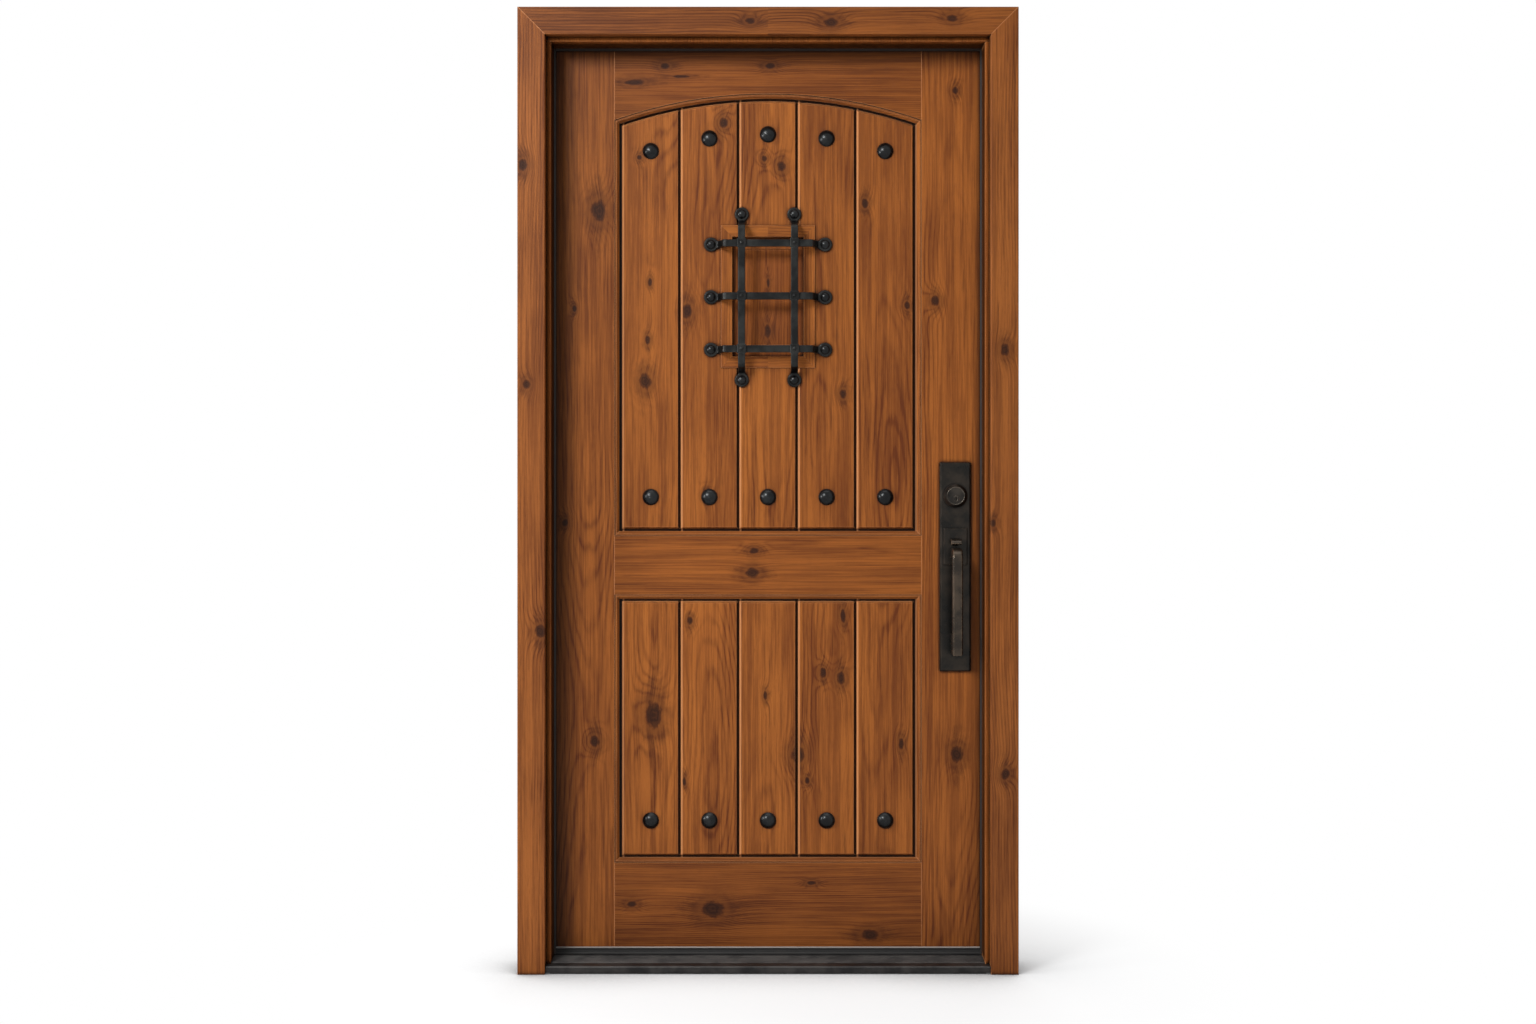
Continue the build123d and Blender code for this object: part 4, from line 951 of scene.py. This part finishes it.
def grid_object(name: str, points: np.ndarray, material: bpy.types.Material,
                body: str) -> bpy.types.Object:
    """Makes one mesh object from grids of points whose columns close round.

    Args:
        name: the piece's name.
        points: array of grids, shape (copies, rows, columns, 3), in metres.
        material: the finish.
        body: the body that the piece rides on.

    Returns:
        The new object, with its first and last rows closed by one point each.
    """
    copies, rows, columns, _ = points.shape
    index = np.arange(copies * rows * columns).reshape(copies, rows, columns)
    right = np.roll(index, -1, axis=2)
    down = np.roll(index, -1, axis=1)
    corner = np.roll(down, -1, axis=2)
    quads = np.stack([index, right, corner, down], axis=-1)[:, :-1].reshape(-1, 4)
    mesh = bpy.data.meshes.new(name)
    mesh.from_pydata(points.reshape(-1, 3), [], quads.tolist())
    mesh.update()
    made = bpy.data.objects.new(name, mesh)
    bpy.context.collection.objects.link(made)
    tidy_mesh(mesh)
    mesh.materials.append(material)
    mesh.polygons.foreach_set("use_smooth", np.ones(len(mesh.polygons), dtype=bool))
    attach(made, body)
    log.info("%s: %d faces on %s", name, len(mesh.polygons), body)
    return made


def tidy_mesh(mesh: bpy.types.Mesh) -> None:
    """Merges a mesh's doubled points and turns its faces outwards.

    Args:
        mesh: the mesh, which is changed.
    """
    work = bmesh.new()
    work.from_mesh(mesh)
    bmesh.ops.remove_doubles(work, verts=work.verts, dist=1e-6)
    bmesh.ops.recalc_face_normals(work, faces=work.faces)
    work.to_mesh(mesh)
    work.free()


def dress(material: bpy.types.Material, *nodes: str) -> None:
    """Gives CAD nodes their finish.

    Args:
        material: the finish for all slots of each node.
        *nodes: the nodes' names.
    """
    for node in nodes:
        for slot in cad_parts[node].material_slots:
            slot.link = "OBJECT"
            slot.material = material
        log.info("%s: dressed in %s", node, material.name)


@dataclass
class Surround:
    """Jambs, casings and weatherstrip of the fixed frame."""

    casing_knots: tuple[Knot, ...] = (
        Knot(-0.4990, 0.7530, 0.010), Knot(-0.5290, 1.2930, 0.007), Knot(-0.5370, 1.7740, 0.009),
        Knot(0.5190, 1.3690, 0.009), Knot(0.4930, 0.9900, 0.006), Knot(0.5200, 0.4400, 0.008))
    head_knots: tuple[Knot, ...] = (
        Knot(-0.0390, 2.0900, 0.006, 1.6), Knot(0.1380, 2.0860, 0.009, 1.5), Knot(0.4030, 2.0960, 0.007, 1.6))

    def dress(self, effects: Effects) -> None:
        """Dresses every piece of the fixed wooden frame.

        Args:
            effects: the shared node groups.
        """
        casing = WoodFinish("casing_side", Run.UPRIGHT, Boards.SIDES, tint(150, 88, 40), tint(86, 43, 18),
                            self.casing_knots, seed=3.0)
        head = WoodFinish("casing_head", Run.LEVEL, Boards.SIDES, tint(144, 83, 36), tint(80, 41, 18),
                          self.head_knots, seed=5.0)
        jamb = WoodFinish("jamb_side", Run.UPRIGHT, Boards.SIDES, tint(142, 83, 36), tint(78, 39, 17),
                          seed=11.0)
        top = WoodFinish("jamb_head", Run.LEVEL, Boards.SIDES, tint(142, 83, 36), tint(78, 39, 17),
                         seed=13.0)
        # The stops' faces darken with depth as painted shade.
        stop = WoodFinish("door_stop", Run.UPRIGHT, Boards.SIDES, tint(152, 89, 39), tint(84, 42, 18),
                          seed=15.0, depth_shade=0.8, shine=0.03)
        seal = RubberFinish("seal_foam", tint(20, 11, 7), tint(48, 30, 20))
        dress(casing.build(effects), "casing_left", "casing_right")
        dress(head.build(effects), "casing_head")
        dress(jamb.build(effects), "hinge_jamb", "strike_jamb", "strike_insert")
        dress(stop.build(effects), "door_stops")
        dress(top.build(effects), "head_jamb")
        dress(seal.build(effects), "weatherstrip")


@dataclass
class Sill:
    """Metal deck, substrate, cap and the door's sweep."""

    sweep_lit_height: float = 0.0366
    deck_rounding: float = 0.0012

    def dress(self, effects: Effects) -> None:
        """Dresses the sill's pieces and the sweep.

        Args:
            effects: the shared node groups.
        """
        # Its strong edge lightening is partly wear and partly the painted highlight along the nosing.
        deck = MetalFinish("sill_metal", tint(26, 25, 25), tint(134, 129, 125), metallic=0.55, roughness=0.44,
                           dents=40.0, grit=1500.0, height=0.00005, spread=0.0012, edge_share=0.9,
                           rounding=self.deck_rounding)
        base = RubberFinish("sill_substrate", tint(40, 37, 35), tint(84, 78, 72), pits=500.0)
        cap = RubberFinish("sill_cap_paint", tint(24, 22, 21), tint(50, 46, 43), pits=400.0)
        # A painted highlight band covers the sweep above sweep_lit_height.
        sweep = RubberFinish("sweep_rubber", tint(28, 27, 27), tint(150, 143, 138), dusting=0.05,
                             lit_height=self.sweep_lit_height)
        dress(deck.build(effects), "sill_deck")
        dress(base.build(effects), "sill_base")
        dress(cap.build(effects), "sill_cap")
        dress(sweep.build(effects), "door_sweep")


@dataclass
class Slab:
    """Stiles, rails and planks of the door leaf."""

    stile_knots: tuple[Knot, ...] = (
        Knot(-0.3788, 1.6886, 0.016), Knot(-0.4550, 0.9900, 0.006), Knot(-0.3880, 0.5000, 0.009),
        Knot(-0.4340, 1.4700, 0.004, 1.6), Knot(0.3743, 1.4870, 0.008), Knot(0.4236, 0.4710, 0.012),
        Knot(0.4190, 1.9590, 0.006))
    rail_knots: tuple[Knot, ...] = (
        Knot(-0.0359, 0.8770, 0.010, 1.3), Knot(-0.0314, 0.9270, 0.006, 1.5),
        Knot(-0.1233, 0.1240, 0.017, 1.3), Knot(0.2286, 0.0660, 0.011, 1.5),
        Knot(0.0970, 0.1830, 0.004, 2.2), Knot(-0.2309, 2.0136, 0.006, 1.6),
        Knot(0.0045, 2.0136, 0.006, 1.6), Knot(-0.3000, 1.9770, 0.006, 3.0),
        Knot(-0.1950, 1.9900, 0.003, 6.0), Knot(-0.3050, 0.1350, 0.006, 1.6))
    plank_knots: tuple[Knot, ...] = (
        Knot(0.2180, 1.7070, 0.007), Knot(-0.1820, 1.4650, 0.010, 1.4), Knot(-0.2700, 1.4000, 0.005, 1.8),
        Knot(-0.2760, 1.3080, 0.012), Knot(-0.2650, 1.5300, 0.004, 2.0), Knot(0.1690, 1.2790, 0.007),
        Knot(-0.1370, 1.0520, 0.006), Knot(-0.1753, 0.7695, 0.006), Knot(-0.2562, 0.5587, 0.016, 1.6),
        Knot(0.0674, 0.4688, 0.013), Knot(0.1640, 0.6410, 0.008, 1.5), Knot(0.1236, 0.6530, 0.006, 1.6),
        Knot(0.0880, 0.4110, 0.005), Knot(0.3130, 1.4780, 0.006), Knot(-0.0060, 0.6030, 0.004, 2.2),
        Knot(0.1685, 0.7810, 0.005, 2.6), Knot(0.2990, 0.4930, 0.005, 2.4), Knot(-0.1880, 0.4090, 0.004, 2.0),
        Knot(0.0300, 1.7900, 0.008), Knot(-0.0080, 1.8080, 0.005), Knot(-0.1000, 1.8880, 0.008),
        Knot(-0.2890, 1.8100, 0.005, 1.0))

    planks_per_field: int = 5
    # Strength of the painted shadow along the leaf's edges.
    rim_shade: float = 0.75

    def dress(self, effects: Effects) -> None:
        """Dresses the leaf's joinery.

        Args:
            effects: the shared node groups.
        """
        stile = WoodFinish("stile_wood", Run.UPRIGHT, Boards.SIDES, tint(158, 92, 39), tint(86, 41, 17),
                           self.stile_knots, seed=21.0, rim_shade=self.rim_shade)
        rail = WoodFinish("rail_wood", Run.LEVEL, Boards.RAILS, tint(150, 86, 35), tint(78, 37, 15),
                          self.rail_knots, seed=31.0, rim_shade=self.rim_shade)
        plank = WoodFinish("plank_wood", Run.UPRIGHT, Boards.PLANKS, tint(165, 97, 41), tint(92, 45, 18),
                           self.plank_knots, seed=41.0)
        dress(stile.build(effects), "hinge_stile", "lock_stile")
        dress(rail.build(effects), "top_rail", "mid_rail", "bottom_rail")
        dress(plank.build(effects), *(f"{field}_plank_{number}" for field in ("lower", "upper")
                                      for number in range(1, self.planks_per_field + 1)))


@dataclass
class ViewingOpening:
    """Mitred frame, small door, its hinges and pull, and the iron grille and nails."""

    door_knots: tuple[Knot, ...] = (Knot(-0.0010, 1.4210, 0.006, 2.2), Knot(0.0005, 1.5300, 0.003, 3.0))
    bars: tuple[str, ...] = ("left", "right", "top", "middle", "bottom")
    bar_rounding: float = 0.0018

    def dress(self, effects: Effects, hinge: bpy.types.Material) -> None:
        """Dresses the opening's pieces.

        Args:
            effects: the shared node groups.
            hinge: the finish of hinges.
        """
        border = WoodFinish("viewer_frame", Run.MITRED, Boards.SIDES, tint(165, 97, 41), tint(94, 47, 20),
                            seed=51.0)
        leaf = WoodFinish("viewer_door", Run.UPRIGHT, Boards.SIDES, tint(152, 86, 36), tint(82, 39, 17),
                          self.door_knots, seed=61.0)
        iron = MetalFinish("grille_iron", tint(18, 19, 19), tint(104, 104, 100), metallic=0.75, roughness=0.34,
                           dents=120.0, height=0.0004, edge_share=0.8, rounding=self.bar_rounding)
        nail = MetalFinish("nail_iron", tint(20, 21, 22), tint(96, 98, 98), metallic=0.75, roughness=0.27,
                           dents=70.0, spread=0.0004, edge_share=0.4)
        dress(border.build(effects), "viewer_frame", "viewer_inner_trim")
        dress(leaf.build(effects), "viewer_door")
        dress(iron.build(effects), "grille_rivets", *(f"grille_bar_{place}" for place in self.bars))
        dress(nail.build(effects), "clavos", "grille_nails", "viewer_pull")
        dress(hinge, "viewer_frame_leaves", "viewer_door_leaves")


@dataclass
class HandleSet:
    """Outside plate, grip, thumb piece and lock cylinder, and the inside trim and bolts."""

    plate_rounding: float = 0.0030
    cylinder_rounding: float = 0.0014

    def dress(self, effects: Effects) -> None:
        """Dresses the handle set and the lock's steel.

        Args:
            effects: the shared node groups.
        """
        plate = MetalFinish("handle_bronze", tint(27, 26, 24), tint(112, 95, 79), roughness=0.30, dents=30.0,
                            grit=1100.0, height=0.00008, edge_share=0.9, rounding=self.plate_rounding)
        # Its wide, strong edge lightening is partly wear and partly the painted highlight strip along the
        # grip's flanks.
        grip = MetalFinish("grip_bronze", tint(46, 41, 36), tint(156, 132, 108), roughness=0.28, dents=30.0,
                           grit=1100.0, height=0.00008, spread=0.0026, edge_share=0.8, rounding=self.plate_rounding)
        # Its edge lightening is partly wear and partly painted highlights on the cylinder's rings.
        cylinder = MetalFinish("cylinder_bronze", tint(31, 29, 27), tint(138, 126, 112), roughness=0.30,
                               dents=30.0, grit=1100.0, height=0.00006, spread=0.0018, edge_share=0.85,
                               rounding=self.cylinder_rounding)
        steel = MetalFinish("lock_steel", tint(150, 142, 130), tint(196, 190, 180), metallic=0.9, dents=50.0,
                            grit=1200.0, height=0.00005, spread=0.0008, edge_share=0.6)
        dress(plate.build(effects), "handle_plate", "latch_plate", "inside_plate")
        dress(grip.build(effects), "grip_handle", "thumb_piece", "inside_lever", "thumbturn")
        dress(cylinder.build(effects), "cylinder_housing", "cylinder_plug")
        dress(steel.build(effects), "strike_plates", "bolt_cases", "deadbolt", "latch_bolt")


@dataclass
class Screws:
    """Countersunk screws with cross recesses, in the hinge leaves, the strikes and the inside plate.

    When a CAD node's points are sorted into screws, wide_from counts shank radii and near_within head radii.
    """

    head_radius: float = 0.0045
    shank_radius: float = 0.0023
    length: float = 0.015
    cone_start: float = 0.0004
    arm_width: float = 0.0011
    arm_length: float = 0.0027
    recess: float = 0.0011
    cross_turn: float = 0.4
    wide_from: float = 1.3
    near_within: float = 2.2
    rings: int = 12
    sectors: int = 32

    def dress(self, effects: Effects, hinge: bpy.types.Material) -> None:
        """Replaces the plain CAD screws by ones with recessed heads, and dresses the hinges.

        Args:
            effects: the shared node groups.
            hinge: the finish of hinges.
        """
        finish = MetalFinish("screw_bronze", tint(64, 58, 52), tint(128, 114, 98), dents=60.0, grit=1500.0,
                             height=0.00004, spread=0.0004).build(effects)
        dress(hinge, "hinge_frame_leaves", "hinge_door_leaves", "hinge_pins")
        for node, body in (("frame_screws", "frame"), ("door_screws", "door")):
            centres, ways = self._places(node)
            piece = grid_object(f"{node}_recessed", self._grids(centres, ways), finish, body)
            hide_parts(node)

    def _places(self, node: str) -> tuple[np.ndarray, np.ndarray]:
        """Head centre and direction of each screw of a CAD node.

        A screw's wide points, which lie further from its axis than its shank, are its head.

        Args:
            node: the node's name.

        Returns:
            The head centres and the X direction in which each screw points.
        """
        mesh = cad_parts[node].data
        points = np.empty(len(mesh.vertices) * 3)
        mesh.vertices.foreach_get("co", points)
        centres, ways = [], []
        for screw in self._clusters(points.reshape(-1, 3)):
            low, high = screw.min(axis=0), screw.max(axis=0)
            middle = (low + high) / 2
            wide = np.abs(screw[:, 1] - middle[1]) > self.wide_from * self.shank_radius
            head_x = screw[wide, 0].mean() if wide.any() else low[0]
            way = 1.0 if middle[0] > head_x else -1.0
            centres.append((low[0] if way > 0 else high[0], middle[1], middle[2]))
            ways.append(way)
        return np.array(centres), np.array(ways)

    def _clusters(self, points: np.ndarray) -> list[np.ndarray]:
        """Sorts points into screws.

        Args:
            points: the points of all screws of a node.

        Returns:
            The points of each screw, which are on one side of the door and within a head's width of the first
            one's axis.
        """
        side = np.sign(points[:, 0])
        left = np.ones(len(points), dtype=bool)
        found = []
        while left.any():
            first = np.flatnonzero(left)[0]
            away = np.linalg.norm(points[:, 1:] - points[first, 1:], axis=1)
            near = left & (side == side[first]) & (away < self.near_within * self.head_radius)
            found.append(points[near])
            left &= ~near
        return found

    def _grids(self, centres: np.ndarray, ways: np.ndarray) -> np.ndarray:
        """Screws as lathed grids whose heads sink in a cross.

        A row's radius and depth follow the screw's profile from the head's middle to the tip. On the head, the
        depth also has the cross, which is the recess times how far inside its two arms the point lies, as a
        part of half an arm's width and at most 1.

        Args:
            centres: the head centres.
            ways: the X direction of each screw.

        Returns:
            Grids of shape (screws, rows, columns, 3).
        """
        radii = np.concatenate([np.linspace(0, self.head_radius, self.rings),
                                [self.head_radius, self.shank_radius, self.shank_radius, 0]])
        depths = np.concatenate([np.zeros(self.rings),
                                 [self.cone_start, self.cone_start + self.head_radius - self.shank_radius,
                                  self.length, self.length]])
        turn = np.linspace(0, 2 * math.pi, self.sectors, endpoint=False) + self.cross_turn
        radius, angle = np.meshgrid(radii, turn, indexing="ij")
        depth = np.repeat(depths[:, None], self.sectors, axis=1)
        u, v = radius * np.cos(angle), radius * np.sin(angle)
        cosine, sine = math.cos(self.cross_turn), math.sin(self.cross_turn)
        a, b = np.abs(cosine * u + sine * v), np.abs(cosine * v - sine * u)
        arms = np.maximum(np.maximum(a, b) - self.arm_length, np.minimum(a, b) - self.arm_width / 2)
        sink = np.clip(-arms / (self.arm_width / 2), 0, 1) * self.recess
        depth[: self.rings] += sink[: self.rings]
        local = np.stack([depth, u, v], axis=-1)
        grids = np.repeat(local[None], len(centres), axis=0)
        grids[..., 0] *= ways[:, None, None]
        return grids + centres[:, None, None, :]


@dataclass
class Studio:
    """Camera, lamps, world and pale floor."""

    distance: float = 4.225
    eye: float = 1.014
    lens: float = 44.93
    floor_half: float = 60.0
    world_level: float = 0.14
    floor_white: float = 0.60
    top_strength: float = 1.0
    top_angle: float = 50.0
    lamps: tuple[tuple[str, tuple[float, float, float], float, float], ...] = (
        ("key", (-2.2, -3.3, 3.3), 1.3, 160.0),
        ("side", (-3.0, -1.2, 1.5), 0.7, 36.0),
        ("back", (0.8, 3.4, 2.6), 2.6, 60.0))
    lamp_aim: tuple[float, float, float] = (0.0, 0.0, 1.0)
    white_from: Span = (0.58, 1.05)
    foot_shadow_reach: float = 0.30
    foot_shadow_share: float = 0.90

    def build(self, effects: Effects) -> None:
        """Makes the whole studio.

        Args:
            effects: the shared node groups.
        """
        self._camera()
        self._world()
        self._floor(effects)
        self._sun("top", (0.0, -0.05, 1.0), self.top_strength, self.top_angle)
        for name, place, size, power in self.lamps:
            self._lamp(name, place, size, power)
        bpy.context.scene.view_settings.view_transform = "Standard"

    def _camera(self) -> None:
        """Camera level with the middle of the picture, straight in front of the door."""
        data = bpy.data.cameras.new("camera")
        data.sensor_width = 36.0
        data.lens = self.lens
        camera = bpy.data.objects.new("camera", data)
        camera.location = (0.0, -self.distance, self.eye)
        camera.rotation_euler = (math.pi / 2, 0.0, 0.0)
        bpy.context.collection.objects.link(camera)
        bpy.context.scene.camera = camera

    def _sun(self, name: str, way: tuple[float, float, float], strength: float, angle: float) -> None:
        """Broad parallel light.

        Args:
            name: the lamp's name.
            way: the direction towards the lamp.
            strength: its irradiance.
            angle: the width of its disc in degrees, which softens the shadows.
        """
        data = bpy.data.lights.new(name, "SUN")
        data.energy = strength
        data.angle = math.radians(angle)
        lamp = bpy.data.objects.new(name, data)
        lamp.rotation_euler = Vector(way).to_track_quat("Z", "Y").to_euler()
        bpy.context.collection.objects.link(lamp)

    def _lamp(self, name: str, place: tuple[float, float, float], size: float, power: float) -> None:
        """Square soft lamp aimed at the middle of the door.

        Args:
            name: the lamp's name.
            place: its position.
            size: the length of its sides.
            power: its power in watts.
        """
        data = bpy.data.lights.new(name, "AREA")
        data.size = size
        data.energy = power
        lamp = bpy.data.objects.new(name, data)
        lamp.location = place
        aim = Vector(self.lamp_aim) - Vector(place)
        lamp.rotation_euler = aim.to_track_quat("-Z", "Y").to_euler()
        bpy.context.collection.objects.link(lamp)

    def _shown(self, sheet: Wiring) -> Socket:
        """Tells rays that see or mirror a surface from those that light by it.

        Args:
            sheet: the wiring of the material or world.

        Returns:
            1 for the first kind, and 0 for the second.
        """
        path = sheet.node("LightPath")
        seen = sheet.most(path.outputs["Is Camera Ray"], path.outputs["Is Glossy Ray"])
        return sheet.most(seen, path.outputs["Is Transmission Ray"])

    def _world(self) -> None:
        """World that is seen and mirrored as white, and lights at a low even level."""
        world = bpy.data.worlds.new("studio")
        world.use_nodes = True
        sheet = Wiring(world.node_tree)
        sky = next(node for node in world.node_tree.nodes if node.type == "BACKGROUND")
        sky.inputs["Color"].default_value = (1.0, 1.0, 1.0, 1.0)
        level = sheet.times_plus(self._shown(sheet), 1.0 - self.world_level, self.world_level)
        sheet.feed(sky.inputs["Strength"], level)
        bpy.context.scene.world = world

    def _floor(self, effects: Effects) -> None:
        """Pale floor with the lamps' shadow and a painted contact shadow at the door's foot, seen as white far
        away.

        Args:
            effects: the shared node groups.
        """
        half = self.floor_half
        corners = [(-half, -half, 0.0), (half, -half, 0.0), (half, half, 0.0), (-half, half, 0.0)]
        mesh = bpy.data.meshes.new("floor")
        mesh.from_pydata(corners, [], [(0, 1, 2, 3)])
        floor = bpy.data.objects.new("floor", mesh)
        bpy.context.collection.objects.link(floor)
        material, sheet, shader = new_material("pale_floor")
        x, y, _ = sheet.place()
        cloud = sheet.noise(sheet.vector(x, y, 0.0), 3.0, 4.0)
        shader.inputs["Roughness"].default_value = 0.9
        shader.inputs["Specular IOR Level"].default_value = 0.0
        away = sheet.remap(sheet.far(x, y), *self.white_from, self.floor_white, 1.0)
        # Painted contact shadow: the floor turns grey in the hollow at the door's foot.
        shut = sheet.group(effects.crevice, Reach=self.foot_shadow_reach).outputs["Mask"]
        foot_shadow = sheet.times(shut, self.foot_shadow_share)
        pale = sheet.mix(cloud, tint(251, 252, 253), tint(247, 248, 249))
        sheet.feed(shader.inputs["Base Color"], sheet.mix(foot_shadow, pale, tint(90, 90, 90)))
        seen_white = sheet.times(sheet.times(away, self._shown(sheet)), sheet.minus(1.0, foot_shadow))
        white = sheet.node("Emission")
        blend = sheet.node("MixShader")
        for socket, value in zip(blend.inputs, (seen_white, shader.outputs[0], white.outputs[0])):
            sheet.feed(socket, value)
        leave = next(node for node in sheet.tree.nodes if node.type == "OUTPUT_MATERIAL")
        sheet.feed(leave.inputs["Surface"], blend.outputs[0])
        mesh.materials.append(material)


def main() -> None:
    """Builds the studio and dresses the door."""
    logging.basicConfig(level=logging.INFO, format="%(name)s %(message)s")
    effects = Effects()
    Studio().build(effects)
    hinge = MetalFinish("hinge_bronze", tint(54, 49, 44), tint(124, 106, 88), dents=40.0, grit=1200.0,
                        height=0.00006).build(effects)
    Surround().dress(effects)
    Sill().dress(effects)
    Slab().dress(effects)
    ViewingOpening().dress(effects, hinge)
    HandleSet().dress(effects)
    Screws().dress(effects, hinge)


if __name__ == "__main__":
    main()
